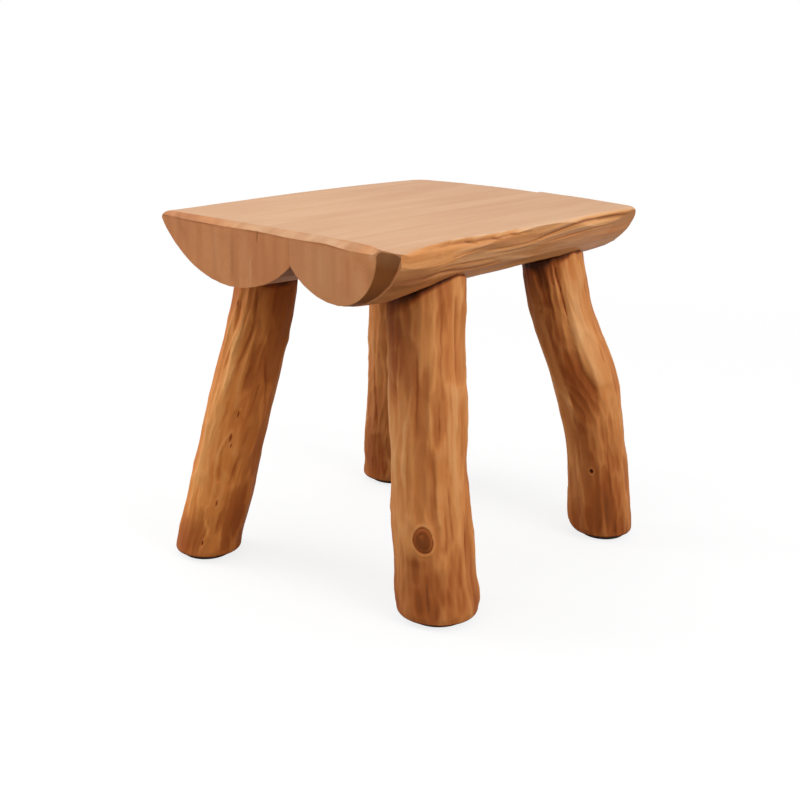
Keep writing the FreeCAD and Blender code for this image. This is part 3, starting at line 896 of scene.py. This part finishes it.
# %% Marks on the front right leg
front_right_marks = [
    (0.9, (1.4, 1.8), 0.5, [(294, -92), (260, -97), (238, -99), (222, -97), (200, -95)]),
    (0.9, (1.6, 2.2), 0.5, [(252, -73), (232, -78), (217, -82), (205, -86), (186, -88), (162, -88), (124, -87)]),
    (-1, (1.2, 2.5), -0.5, [(214, -79), (186, -82), (160, -83), (118, -82)]),
    (0.9, (1.3, 1.6), 0.5, [(238, -48), (210, -47), (184, -47)]),
    (-0.9, (6, 1), -0.2, [(190, -43), (165, -42), (140, -42), (116, -42)]),
    (0.8, (1.2, 5), 0.35, [(190, -40), (160, -39), (138, -38), (110, -38)]),
    (-0.8, (1, 1.6), -0.35, [(292, -62), (258, -63), (226, -66), (200, -68)]),
    (-0.7, (1, 1), -0.5, [(334, -28), (296, -27), (262, -28), (236, -27)]),
    (-0.7, (1, 1), -0.5, [(264, -14), (226, -15), (190, -14), (150, -15)]),
    (-0.6, (0.9, 0.9), -0.5, [(240, -34), (216, -33), (196, -34)]),
    (-0.6, (0.9, 0.9), -0.5, [(222, -23), (196, -22), (168, -23)]),
    (-0.7, (1, 1), -0.5, [(152, -22), (118, -20), (90, -20)]),
    (-0.6, (0.9, 0.9), -0.45, [(120, -30), (100, -29), (80, -30)]),
    (0.7, (1.2, 2), 0.35, [(346, -10), (300, -7), (260, -5), (200, -4)]),
    (-0.8, (1.2, 1.2), -0.4, [(340, -4), (300, -2), (262, 0)]),
    (-0.8, (1.4, 1.4), -0.4, [(122, 2), (92, 4), (58, 3)]),
    (-0.5, (3, 4.5), -0.15, [(80, -88), (52, -84), (32, -86)]),
    (-0.6, (1, 1.4), -0.35, [(60, -60), (40, -61), (20, -60)]),
    (0.8, (2, 4), 0.4, [(128, -40), (108, -36), (88, -37)]),
    (0.6, (1.4, 1.4), 0.3, [(100, -106), (70, -106), (36, -104)])]
# Broad patches of painted shade and painted light, the collar under the knot, and two hollows where the branch is
# slimmer
front_right_marks += [
    (0, (16, 18), -0.36, [(345, -96), (300, -100), (262, -100), (235, -104)]),
    (0, (40, 40), -0.12, [(400, -56), (320, -56), (240, -56)]),
    (0, (20, 20), -0.12, [(280, -66), (220, -64), (150, -70), (110, -78)]),
    (0, (9, 12), 0.34, [(230, -116), (120, -114), (20, -116)]),
    (0, (12, 10), 0.25, [(330, -18), (240, -14), (140, -12)]),
    (0, (20, 26), -0.22, [(88, -70), (50, -66), (-10, -60)]),
    (0, (5, 5), -0.2, [(76, -90), (71, -82), (71, -70), (75, -60)]),
    (-1.4, (14, 14), 0, [(370, 44), (300, 42), (250, 36), (205, 40), (140, 38)]),
    (-1, (10, 10), 0, [(90, 40), (50, 42), (20, 42)])]
print(len(front_right_marks), "marks on the front right leg")

# %% [markdown]
# The back right leg is the crooked one. A crack runs down from its joint, a ridge follows its bend, and the shade of
# the seat on its upper left is painted into its tint. The back left leg hardly shows, so it has only a few marks of
# the same kinds.

# %% Marks on the back legs
back_right_marks = [
    (-1.5, (0.6, 0.7), -0.9, [(344, -52), (326, -49), (312, -47), (295, -45), (270, -45)]),
    (0.9, (1.4, 1.4), 0.45, [(342, -62), (312, -63), (286, -63)]),
    (0.7, (1.2, 1.2), 0.4, [(340, -55), (318, -53), (300, -51)]),
    (-0.9, (0.9, 17), -0.5, [(300, -92), (287, -91), (258, -89), (235, -87), (215, -88), (196, -85), (174, -85),
                               (155, -88), (136, -82)]),
    (0.7, (5, 1.2), 0.35, [(280, -97), (258, -94), (235, -92), (215, -93), (196, -90), (174, -90), (140, -90)]),
    (-0.7, (4, 4), -0.3, [(322, -71), (300, -70), (276, -72)]),
    (-0.8, (9, 1.4), -0.3, [(258, -52), (238, -49), (220, -51), (206, -44), (196, -37), (171, -41), (150, -49)]),
    (1.3, (6, 9), 0.35, [(274, -38), (252, -32), (226, -30), (200, -18)]),
    (-0.9, (1.2, 1.2), -0.55, [(248, -2), (240, -2), (226, -6)]),
    (0.7, (2.2, 1.2), 0.4, [(130, -97), (100, -96), (72, -96)]),
    (0.5, (1.2, 1.2), 0.3, [(130, -86), (112, -86), (92, -87)]),
    (-0.7, (1, 1.3), -0.4, [(332, -33), (306, -34), (280, -30)]),
    (-0.7, (1, 1.3), -0.4, [(310, -14), (280, -14), (256, -10)]),
    (-0.6, (1, 1.3), -0.35, [(214, 8), (190, 6), (164, 8)]),
    (-0.6, (1.2, 1.2), -0.3, [(150, -30), (110, -34), (60, -32)]),
    (0.5, (2, 2), 0.25, [(112, -52), (92, -51), (74, -53)])]
# Broad patches of painted shade, the darkest of them the seat's shadow on the upper left, patches of painted light,
# and the swollen foot
back_right_marks += [
    (0, (24, 16), -0.74, [(430, -78), (345, -76), (290, -84)]),
    (0, (15, 17), -0.2, [(300, -76), (250, -70), (200, -64), (150, -60), (105, -60)]),
    (0, (30, 34), -0.3, [(160, -40), (90, -48), (-10, -48)]),
    (0, (16, 20), 0.4, [(370, -32), (300, -24), (262, -20), (200, -14)]),
    (0, (5, 6), 0.2, [(150, -116), (90, -112), (30, -112)]),
    (2, (14, 14), 0, [(60, -140), (25, -140), (-20, -140)])]
back_right_scars = [(92, -68, 2.4, 2.8, 1.6), (285, -92, 0.8, 3, 0.8)]
back_left_marks = [
    (-1.2, (2, 3), -0.45, [(221, -99), (170, -97), (124, -94), (68, -78)]),
    (0.9, (1.6, 3), 0.35, [(250, -112), (190, -110), (130, -108)]),
    (-0.8, (1.2, 1.2), -0.4, [(260, -120), (200, -119), (150, -118)]),
    (-1.2, (1.6, 5), -0.4, [(300, 150), (250, 156), (200, 148), (150, 150)]),
    (1, (1.6, 3.5), 0.4, [(220, 170), (170, 172), (120, 168)]),
    # A broad patch of painted shade, with no height
    (0, (40, 40), -0.16, [(420, -60), (200, -60), (-60, -60)])]
back_left_scars = [(140, 130, 2.5, 6, 1.8), (230, -150, 2, 5, 1.6)]
print(len(back_right_marks), "and", len(back_left_marks), "marks on the back legs")

# %% [markdown]
# ### The big knot
# A side branch once grew from the front right leg. Cut flush, it shows as an oval eye: a dark ring where its bark
# was, a slightly domed core with rings of its own, and a swollen collar. The trunk's grain parts and flows round it.
# It is shaped in the skin itself, so that its rim catches light, and the grain is bent in the wood's own space.

# %% Shape of a knot
knot_height = 96.0
knot_angle = -62.0
knot_half = (9.6, 13.0)


def knot_shape(across, along):
    """Height and tint of the knot, and how much the grain is pushed aside. Places are from its middle."""
    ring = np.hypot(across / knot_half[0], along / knot_half[1])
    ring = ring * (1 + 0.04 * np.sin(3 * np.arctan2(along, across) + 1.0))
    rim = np.exp(-((ring - 1.0) / 0.07) ** 2)
    inner = np.exp(-((ring - 0.6) / 0.07) ** 2) + 0.7 * np.exp(-((ring - 0.3) / 0.06) ** 2)
    heart = np.exp(-(np.hypot(across + 1, along - 4) / 1.8) ** 2)
    core = np.exp(-(ring / 0.95) ** 10)
    collar = np.exp(-((ring - 1.17) / 0.09) ** 2)
    height = -0.8 * rim - 0.2 * inner + 0.5 * core + 0.6 * collar
    tint = -0.75 * rim * (1 - core) - 0.08 * inner - 0.62 * core + 0.3 * collar + 0.25 * heart
    return height, tint, 0.62 * np.exp(-(ring / 1.7) ** 2)


print("knot stands %.0f mm above the floor" % knot_height)

# %% [markdown]
# ### The peeled skin of a leg
# The drawknife went round each branch in about eight long cuts, and shorter cuts cleaned up between them. Below the
# cuts the branch has lumps of its own, and on some sides long fibres stand up where the knife tore.

# %% Scoops, lumps and fibres
# Scoops round the girth, how far they lean with the grain, their length, depth and crispness, and a seed
leg_scoops = ((8, 1, 76.0, 1.5, 16, 10), (18, -2, 34.0, 0.8, 20, 14))
torn_border = 0.5


def turned_from(angle, middle):
    """Angles measured from a middle, from minus to plus half a turn."""
    return np.mod(angle - middle + math.pi, 2 * math.pi) - math.pi


def torn(angle, low, high):
    """The share of torn fibre: full between two angles in degrees, and none on the far side."""
    middle, half = math.radians(low + high) / 2, math.radians(high - low) / 2
    return 1 - ease(np.abs(turned_from(angle, middle)), half, half + torn_border)


def peeled_skin(leg, angle, height, radius):
    """Relief and tint that the knife and the tree gave the skin."""
    seed, girth, arc = leg.seed, 2 * math.pi * radius.mean(), radius.mean() * angle
    ring = np.stack([np.cos(angle) * radius, np.sin(angle) * radius, height], axis=-1)
    slow = ring * [1, 1, 0.4]
    lean = 7.0 * wander(slow, 30, seed)
    cut = sum(scoops(np.mod(arc + way * lean, girth), height + way * lean, seed + key, girth / count, length, depth,
                     crisp, wrap=count) for count, way, length, depth, crisp, key in leg_scoops)
    relief = cut + 0.6 * wander(slow, 22, seed + 20) + 0.2 * wander(ring * [1, 1, 0.3], 9, seed + 21)
    fibres = 0.4 * wander(ring * [1, 1, 0.11], 6, seed + 30) + 0.3 * wander(ring * [1, 1, 0.16], 2.8, seed + 31)
    share = torn(angle, *leg.torn)
    relief += fibres * (0.15 + 0.7 * share)
    tint = 0.14 * wander(slow, 26, seed + 50) + 0.06 * wander(ring * [1, 1, 0.3], 8, seed + 51)
    # Crests of the scoops paler and their hollows darker: painted highlight and painted shade
    tint += 0.24 * ease(cut, 0.0, 0.9) - 0.1 + (0.05 + 0.3 * share) * fibres
    unsteady = 0.8 * wander(ring, [9, 9, 13], seed + 40) + 0.4 * wander(ring, [4, 4, 6], seed + 41)
    return relief, tint, unsteady


print("knife cuts round a leg:", [cut[0] for cut in leg_scoops])

# %% [markdown]
# ### Marks on the skin
# The drawn marks, scars and the knot are added to the peeled skin. Their lines wander by half a millimetre, as a
# real groove follows the fibres. Where the knot sits, the skin is calm, so that its rings stay clean.

# %% Draw the marks on a leg
ridge_tint = 0.7  # a ridge or groove is tinted less than written, because light and shade tint it too


def draw_marks(leg, angle, height, girth_radius, unsteady, relief, tint):
    """Add a leg's drawn marks and scars to its relief and tint."""
    for lift, width, shade, line in leg.marks:
        heights, angles = np.array(line, float).T
        middle = math.radians(angles.mean())
        path = np.stack([(np.radians(angles) - middle) * girth_radius, heights], axis=-1)
        near = stroke(turned_from(angle, middle) * girth_radius + unsteady, height, path, width)
        relief += lift * near
        # The tint of a ridge is partly painted highlight, and of a groove partly painted shade
        tint += shade * near * (ridge_tint if lift else 1.0)
    for scar_height, scar_angle, half_width, half_length, depth in leg.scars:
        turned = turned_from(angle, math.radians(scar_angle))
        spot = np.hypot(turned * girth_radius / half_width, (height - scar_height) / half_length)
        hollow, rim = np.exp(-spot ** 3), np.exp(-((spot - 1.5) / 0.35) ** 2)
        relief += -depth * hollow + 0.35 * depth * rim
        tint += -0.75 * hollow + 0.25 * rim


def skin_height(leg, angle, height, radius):
    """Relief and tint of a leg's skin at angles and heights, and where each point lay in the tree."""
    relief, tint, unsteady = peeled_skin(leg, angle, height, radius)
    draw_marks(leg, angle, height, radius.mean(), unsteady, relief, tint)
    bent = angle
    if leg.knot:
        turned = turned_from(angle, math.radians(knot_angle))
        across, along = turned * radius.mean(), height - knot_height
        lift, shade, aside = knot_shape(across, along)
        calm = 1 - 0.85 * np.exp(-(np.hypot(across / 14, along / 18)) ** 4)
        relief, tint = relief * calm + lift, tint * calm + shade
        bent = angle - turned * aside
    tree_place = np.stack([np.cos(bent) * radius, np.sin(bent) * radius, height], axis=-1)
    return relief * ease(height, foot_height, foot_height + 9), np.clip(tint, -1, 1), tree_place


print("ridges are tinted by", ridge_tint, "of what is written")

# %% [markdown]
# ### Scribe the shoulder
# A maker holds the leg against the round log and scribes the log's line on it, so that the shoulder fits. Here each
# column of points rises until it meets the slab above it. The meeting moves as the branch leans, so a few tries
# close in on it. The foot is rounded over, as a foot that is dragged over a floor is.

# %% Grow a skin up to the slab
around_count = 208
ring_count = 236
column_angles = np.arange(around_count) * 2 * math.pi / around_count
foot_shares = (0.0, 0.1, 0.28, 0.5, 0.75)
first_guess = 335.0


def skin(leg, turn, height):
    """Points of the skin at angles and heights, with tint and place in the tree."""
    middle_x, middle_y, radius = along_branch(leg.rows, height)
    relief, tint, tree_place = skin_height(leg, turn, height, radius)
    tall = np.maximum(height - foot_height, 0)
    rounded = foot_round * (1 - np.sqrt(np.clip(1 - (1 - np.clip(tall / foot_round, 0, 1)) ** 2, 0, 1)))
    reach = radius + relief - rounded
    points = np.stack([middle_x + reach * np.cos(turn), middle_y + reach * np.sin(turn), height], axis=-1)
    return points, tint, tree_place


def under_slab(leg, points):
    """Height of the slab's underside over each point, less the gap of a scribed joint."""
    up = Vector((0, 0, 1))
    found = [leg.slab.ray_cast(Vector((x * mm, y * mm, 0.2)), up)[0].z / mm for x, y in points[:, :2]]
    return np.array(found) - scribe_gap


def grow_skin(leg):
    """Rings of points from the foot to the scribed shoulder."""
    leg.top = np.full(around_count, first_guess)
    for attempt in range(7):
        leg.top = under_slab(leg, skin(leg, column_angles, leg.top)[0])
    low = foot_height + foot_round
    heights = [np.full(around_count, foot_height + foot_round * share) for share in foot_shares]
    heights += [low + share * (leg.top - low) for share in np.linspace(0, 1, ring_count)]
    leg.height = np.array(heights)
    leg.turn = np.broadcast_to(column_angles, leg.height.shape)
    points, tint, place = skin(leg, leg.turn.ravel(), leg.height.ravel())
    leg.points, leg.place = (part.reshape(leg.height.shape + (3,)) for part in (points, place))
    leg.tint = tint.reshape(leg.height.shape)


print("a leg's skin has", around_count, "columns and", ring_count + len(foot_shares), "rings")

# %% [markdown]
# ### Painted shade at the joint and the foot
# The slab's shadow on each leg is painted into its tint under the joint, deepest on one side of each leg, and so is a
# dark line at the very edge of the foot. The legs are also darkened towards the joint and towards the floor, as
# painted shade. The shoulder's edge is broken a little, because a sharp one would splinter.

# %% Shade a leg's ends
def shade_ends(leg):
    """Paint shade under the joint, towards the floor and at the foot, and break the shoulder's edge."""
    shadow_angle, shadow_depth = leg.joint_dark
    from_joint = leg.top - leg.height
    # Painted shadow of the slab under the joint, deepest at one angle round the leg
    deep = 3.0 + shadow_depth * (0.5 + 0.5 * np.cos(leg.turn - math.radians(shadow_angle))) ** 3
    shade = 0.8 * ease(from_joint / deep + 0.25 * wander(leg.points, 10, leg.seed + 60), 1.0, 0.1)
    leg.tint = leg.tint * (1 - shade) - shade
    # Painted shade: darker within 70 mm of the joint and towards the floor, and a dark line at the foot's edge
    leg.tint -= 0.15 * ease(from_joint, 70, 5) + 0.35 * ease(leg.height, 150, 20)
    leg.tint -= 0.8 * ease(leg.height, foot_height + foot_round, foot_height + 0.5)
    broken = joint_round * ease(from_joint, joint_round, 0) ** 2
    leg.points[..., 0] -= broken * np.cos(leg.turn)
    leg.points[..., 1] -= broken * np.sin(leg.turn)


print("the shoulder's edge is broken by", joint_round, "mm")

# %% [markdown]
# ### Ledge and tenon
# Above the shoulder a flat ledge runs in under the slab to a turned tenon, which hides in the slab's socket. Neither
# shows, but the leg has to be a whole closed piece, and the tenon is what holds it.

# %% Close a leg with its tenon
root_height = 320.0  # the tenon's line starts at this height in the branch
tenon_short = 9.0  # and ends this far below the measured tenon's end, so that it stays in its socket


def tenon_rings(leg):
    """Three rings that close the leg: the ledge, the tenon's root and the tenon's end."""
    middle_x, middle_y, _ = along_branch(leg.rows, leg.top)
    centre = np.stack([middle_x, middle_y, leg.top], axis=-1)
    edge = leg.points[-1]
    ledge = centre + (edge - centre) * [0.6, 0.6, 0]
    ledge[:, 2] = under_slab(leg, ledge)
    collar = centre + (edge - centre) * [0.5, 0.5, 0]
    collar[:, 2] = ledge[:, 2]
    measured, _ = points_of(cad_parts["leg_" + leg.name].data)
    tip = measured[measured[:, 2].argsort()[-4:]].mean(axis=0)
    root_x, root_y, _ = along_branch(leg.rows, np.array([root_height]))
    root = np.array([root_x[0], root_y[0], root_height])
    axis = (tip - root) / np.linalg.norm(tip - root)
    reach = measured[:, 2].max() - tenon_short
    circle = np.stack([np.cos(column_angles), np.sin(column_angles), 0 * column_angles], axis=-1)
    return [ledge, collar, root + axis * (reach - root_height) / axis[2] + circle * tenon_radius]


def closed_mesh(leg):
    """One closed mesh of the skin and the tenon, with its tint and place in the tree."""
    hidden = tenon_rings(leg)
    rings = np.array([*leg.points, *hidden])
    grid = np.arange(len(rings) * around_count).reshape(len(rings), around_count)
    right_of = np.roll(grid, -1, axis=1)
    quads = np.stack([grid[:-1], right_of[:-1], right_of[1:], grid[1:]], axis=-1).reshape(-1, 4)
    mesh = bpy.data.meshes.new("leg_" + leg.name + "_dressed")
    faces = quads.tolist() + [grid[0, ::-1].tolist(), grid[-1].tolist()]
    mesh.from_pydata((rings.reshape(-1, 3) * mm).tolist(), [], faces)
    mesh.shade_smooth()
    mesh.set_sharp_from_angle(angle=math.radians(60))
    places = np.concatenate([leg.place, np.repeat(leg.place[-1:], len(hidden), axis=0)])
    tints = np.concatenate([leg.tint, np.full((len(hidden), around_count), -0.5)])
    keep_on(mesh, places.reshape(-1, 3), tints.ravel())
    return mesh


print("tenons are %.0f mm thick" % (2 * tenon_radius))

# %% [markdown]
# ### Finish of the legs
# A peeled branch shows the skin of the tree: fibres run lengthwise, and oil sinks in unevenly, so it is redder, more
# streaked and less shiny than the planed seat. Ridges are tinted pale and grooves dark by the tint of each mark,
# partly as rubbed wood and oil and partly as painted highlight and painted shade. The front left leg is of a redder
# branch. It could be the same wood under other light, but the others stand in the same light and are browner, so it
# has its own chart.

# %% Oiled branch wood
# The pale worn colour serves both wear and painted highlight, and the dark groove colour both grooves and painted
# shade.
leg_chart = {
    "warm": "#d08346", "light": "#db9455", "growth": "#be7138", "fibre": "#c47940", "pores": "#8c5024",
    "worn_and_lit": "#f0b97f", "deep": "#984b1b", "groove_and_shade": "#3c1908", "shares": (0.3, 0.2, 0.15)}
red_chart = {
    **leg_chart, "warm": "#d57f3c", "light": "#e3914a", "growth": "#c26c2f", "fibre": "#c97635", "worn_and_lit": "#f4b56f"}
# Sizes in millimetres, across and along the branch. Its colour drifts over 24 mm, a third of its thickness, and the
# growth lines that the knife laid open are about 7 mm wide and break up after some 60 mm, because the branch
# bends. Fibre and pores are drawn 1.6 and 1.2 mm wide, as coarse as they need to be to show.
leg_sizes = {
    "drift": (24, 58), "growth": (7, 56), "fibre": (1.6, 30), "pores": (1.2, 14),
    "raised": 0.12, "shine": 0.14, "rough": (0.6, 0.7)}
leg_wood = oiled_wood("oiled_branch_wood", leg_chart, leg_sizes, 2)
red_leg_wood = oiled_wood("oiled_red_branch_wood", red_chart, leg_sizes, 2)
print("legs are finished in", leg_wood.name, "and", red_leg_wood.name)

# %% [markdown]
# ### Four legs
# Now each leg is grown from its own line, marks and seed. Torn is where its fibres stand up, as two angles, and
# the joint's painted shadow is given as the angle at which it is deepest, and how deep it is there.

# %% Grow the four legs
leg_facts = {
    "front_left": dict(slab="left", marks=front_left_marks, scars=front_left_scars, torn=(60, 150),
                       joint_dark=(-35, 11), seed=11, wood=red_leg_wood),
    "front_right": dict(slab="right", marks=front_right_marks, scars=[], knot=True, torn=(-40, 40),
                        joint_dark=(-115, 16), seed=23),
    "back_right": dict(slab="right", marks=back_right_marks, scars=back_right_scars, torn=(-40, 60),
                       joint_dark=(-98, 14), seed=37),
    "back_left": dict(slab="left", marks=back_left_marks, scars=back_left_scars, torn=(-150, -60),
                      joint_dark=(-60, 10), seed=51)}
for name, facts in leg_facts.items():
    leg = SimpleNamespace(**{"name": name, "rows": branch_lines[name], "knot": False, "wood": leg_wood, **facts})
    leg.slab = tree_of(slab_pieces[leg.slab].data)
    grow_skin(leg)
    shade_ends(leg)
    mesh = closed_mesh(leg)
    mesh.materials.append(leg.wood)
    piece = bpy.data.objects.new("leg_" + name + "_dressed", mesh)
    bpy.context.scene.collection.objects.link(piece)
    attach(piece, "root")
    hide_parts("leg_" + name)
    print(name, "leg has", len(mesh.polygons), "faces,",
          "shoulder from %.0f to %.0f mm" % (leg.top.min(), leg.top.max()))

# %% [markdown]
# ## Pads
# Under each foot is a thin dark pad, which shows only as a line. The measured pads have the right shape already, so
# they stay and get a finish: black rubber, moulded, with a fine dull grain. Rubber has a roughness near 0.75, which
# gives the eye no highlight at all. The grain of such a mould is about 0.3 mm, too fine to show, so it is drawn at
# 1.2 mm.

# %% Moulded black rubber
rubber_grain_size = 1.2 * mm
rubber, rubber_tree, rubber_shader = new_material("moulded_black_rubber")
rubber_place = add(rubber_tree, "ShaderNodeTexCoord").outputs["Object"]
rubber_grain = add(rubber_tree, "ShaderNodeTexNoise", {
    "Vector": rubber_place, "Scale": 1 / rubber_grain_size, "Detail": 2.0})
rubber_colour = painted(rubber_tree, linear("#1b1714"), [(rubber_grain.outputs[0], 0.3, 0.7, 1.0, linear("#2a2420"))])
rubber_tree.links.new(rubber_colour, rubber_shader.inputs["Base Color"])
rubber_shader.inputs["Roughness"].default_value = 0.75
rubber_bump = add(rubber_tree, "ShaderNodeBump", {"Distance": 0.1 * mm, "Height": rubber_grain.outputs[0]})
rubber_tree.links.new(rubber_bump.outputs[0], rubber_shader.inputs["Normal"])
print("pads are finished in", rubber.name)

# %% [markdown]
# ## Dowels
# The dowels hide in the seam and never show when the stool is whole. They are bare beech, turned: pale, with
# straight grain about 1.5 mm wide that runs 30 mm along the dowel, and smooth enough for a roughness of 0.5.

# %% Turned beech, and which piece gets what
beech_grain_sizes = (30 * mm, 1.5 * mm, 1.5 * mm)
beech, beech_tree, beech_shader = new_material("turned_beech")
beech_place = add(beech_tree, "ShaderNodeTexCoord").outputs["Object"]
beech_scaled = add(beech_tree, "ShaderNodeVectorMath", {
    0: beech_place, 1: tuple(1 / size for size in beech_grain_sizes)}, operation="MULTIPLY")
beech_grain = add(beech_tree, "ShaderNodeTexNoise", {"Vector": beech_scaled.outputs[0], "Scale": 1.0, "Detail": 2.0})
beech_colour = painted(beech_tree, linear("#c99a6b"), [(beech_grain.outputs[0], 0.3, 0.7, 1.0, linear("#dcb58a"))])
beech_tree.links.new(beech_colour, beech_shader.inputs["Base Color"])
beech_shader.inputs["Roughness"].default_value = 0.5

finishes = {name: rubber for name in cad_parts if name.startswith("foot_pad")}
finishes["seam_dowels"] = beech
for name, finish in finishes.items():
    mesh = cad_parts[name].data
    mesh.materials.clear()
    mesh.materials.append(finish)
print("finished", sorted(finishes))

# %% [markdown]
# ## Studio floor
# The stool stands on a plain floor that is white to the camera, as in a catalogue. A white floor would throw light up
# under the seat, where the picture is dark, so to bounced light it is a brown grey. Near the stool it keeps part of
# its real shading, and with it the soft shadow at each foot, and further off it glows pure white.

# %% Floor
floor_half = 6.0
# Distances at which the floor starts to fade to pure white and gets there, and its share of white before
fade_start, fade_end, near_white = 0.5, 1.6, 0.8
floor_mesh = bpy.data.meshes.new("studio_floor")
floor_corners = [(-floor_half, -floor_half, 0), (floor_half, -floor_half, 0), (floor_half, floor_half, 0),
                 (-floor_half, floor_half, 0)]
floor_mesh.from_pydata(floor_corners, [], [(0, 1, 2, 3)])
floor = bpy.data.objects.new("studio_floor", floor_mesh)
bpy.context.scene.collection.objects.link(floor)

floor_paint, floor_tree, floor_shader = new_material("pale_studio_floor")
floor_tree.nodes.remove(floor_shader)
path = add(floor_tree, "ShaderNodeLightPath")
bounce = add(floor_tree, "ShaderNodeBsdfDiffuse", {"Color": linear("#5a5048")})
lit = add(floor_tree, "ShaderNodeBsdfDiffuse", {"Color": linear("#fcfcfc")})
glow = add(floor_tree, "ShaderNodeEmission", {"Color": (1, 1, 1, 1), "Strength": 1.0})
floor_place = add(floor_tree, "ShaderNodeTexCoord").outputs["Object"]
far = add(floor_tree, "ShaderNodeVectorMath", {0: floor_place}, operation="LENGTH")
whiter = add(floor_tree, "ShaderNodeMapRange", {
    "Value": far.outputs["Value"], "From Min": fade_start, "From Max": fade_end, "To Min": near_white, "To Max": 1.0})
shown = add(floor_tree, "ShaderNodeMixShader", {0: whiter.outputs[0], 1: lit.outputs[0], 2: glow.outputs[0]})
mirrored = add(floor_tree, "ShaderNodeMixShader", {
    0: path.outputs["Is Glossy Ray"], 1: bounce.outputs[0], 2: lit.outputs[0]})
floor_mix = add(floor_tree, "ShaderNodeMixShader", {
    0: path.outputs["Is Camera Ray"], 1: mirrored.outputs[0], 2: shown.outputs[0]})
floor_tree.links.new(floor_mix.outputs[0], floor_tree.nodes["Material Output"].inputs["Surface"])
floor_mesh.materials.append(floor_paint)
print("floor is %.0f m wide" % (2 * floor_half))

# %% [markdown]
# ## Sky
# A soft white sky lights the stool from all round, at less than full strength, so that the lights can model it. The
# camera and reflections see it at full white.

# %% Sky
sky_strength = 0.70
sky = bpy.data.worlds.new("soft_studio_sky")
bpy.context.scene.world = sky
sky.use_nodes = True
sky_tree = sky.node_tree
sky_path = add(sky_tree, "ShaderNodeLightPath")
sky_seen = sky_path.outputs["Is Camera Ray"]
for ray in ("Is Glossy Ray", "Is Transmission Ray"):
    sky_seen = add(sky_tree, "ShaderNodeMath", {0: sky_seen, 1: sky_path.outputs[ray]}, operation="MAXIMUM").outputs[0]
sky_level = add(sky_tree, "ShaderNodeMapRange", {"Value": sky_seen, "To Min": sky_strength, "To Max": 1.0})
sky_tree.links.new(sky_level.outputs[0], sky_tree.nodes["Background"].inputs["Strength"])
sky_tree.nodes["Background"].inputs["Color"].default_value = (1, 1, 1, 1)
print("sky strength on the stool is", sky_strength)

# %% [markdown]
# ## Lights
# Three soft boxes stand round the stool: one overhead and in front for the seat, and a stronger one on each side,
# which brings out the ridges of the legs. All are large and close, so the shadows have no hard edge.

# %% Lights
def soft_light(name, place, aim, size, power):
    """A square soft light at a place, turned to what it lights."""
    lamp = bpy.data.lights.new(name, "AREA")
    lamp.size = size
    lamp.energy = power
    fixture = bpy.data.objects.new(name, lamp)
    fixture.location = place
    fixture.rotation_euler = (Vector(aim) - Vector(place)).to_track_quat("-Z", "Y").to_euler()
    bpy.context.scene.collection.objects.link(fixture)


seat_middle = (0.0, 0.0, 0.3)
soft_light("overhead_soft_box", (-0.45, -0.45, 1.9), seat_middle, 1.5, 7.0)
soft_light("left_soft_box", (-1.7, -1.0, 1.0), seat_middle, 1.0, 17.0)
soft_light("right_soft_box", (1.7, 0.0, 1.2), seat_middle, 0.9, 16.0)
print("one overhead light and two side lights")

# %% [markdown]
# ## Camera
# The camera stands a little above the seat, turned 42 degrees from the front end, as far off as makes the near leg
# look as long as it does in the picture. It could be aimed at a target, but the picture is also tilted by half a
# degree, so its axes are worked out one by one.

# %% Camera at the picture's angle
camera_turn, camera_aside, camera_dip, camera_roll = (math.radians(a) for a in (41.63, 0.66, 17.75, 0.61))
camera_distance = 1.32
camera_height = 0.60
camera_shift_x = 0.008
lens_length = 54.0

stand = Vector((
    camera_shift_x + camera_distance * math.sin(camera_turn), -camera_distance * math.cos(camera_turn), camera_height))
heading = camera_turn + camera_aside
look = Vector((
    -math.sin(heading) * math.cos(camera_dip), math.cos(heading) * math.cos(camera_dip), -math.sin(camera_dip)))
level = look.cross(Vector((0, 0, 1))).normalized()
rise = level.cross(look)
right = level * math.cos(camera_roll) + rise * math.sin(camera_roll)
above = -level * math.sin(camera_roll) + rise * math.cos(camera_roll)
camera = bpy.data.cameras.new("studio_camera")
camera.lens = lens_length
camera.sensor_width = 36.0
camera_stand = bpy.data.objects.new("studio_camera", camera)
turned = Matrix((right, above, -look)).transposed().to_4x4()
turned.translation = stand
camera_stand.matrix_world = turned
bpy.context.scene.collection.objects.link(camera_stand)
bpy.context.scene.camera = camera_stand
bpy.context.scene.view_settings.view_transform = "Standard"
print("camera stands at", [round(v, 3) for v in stand])
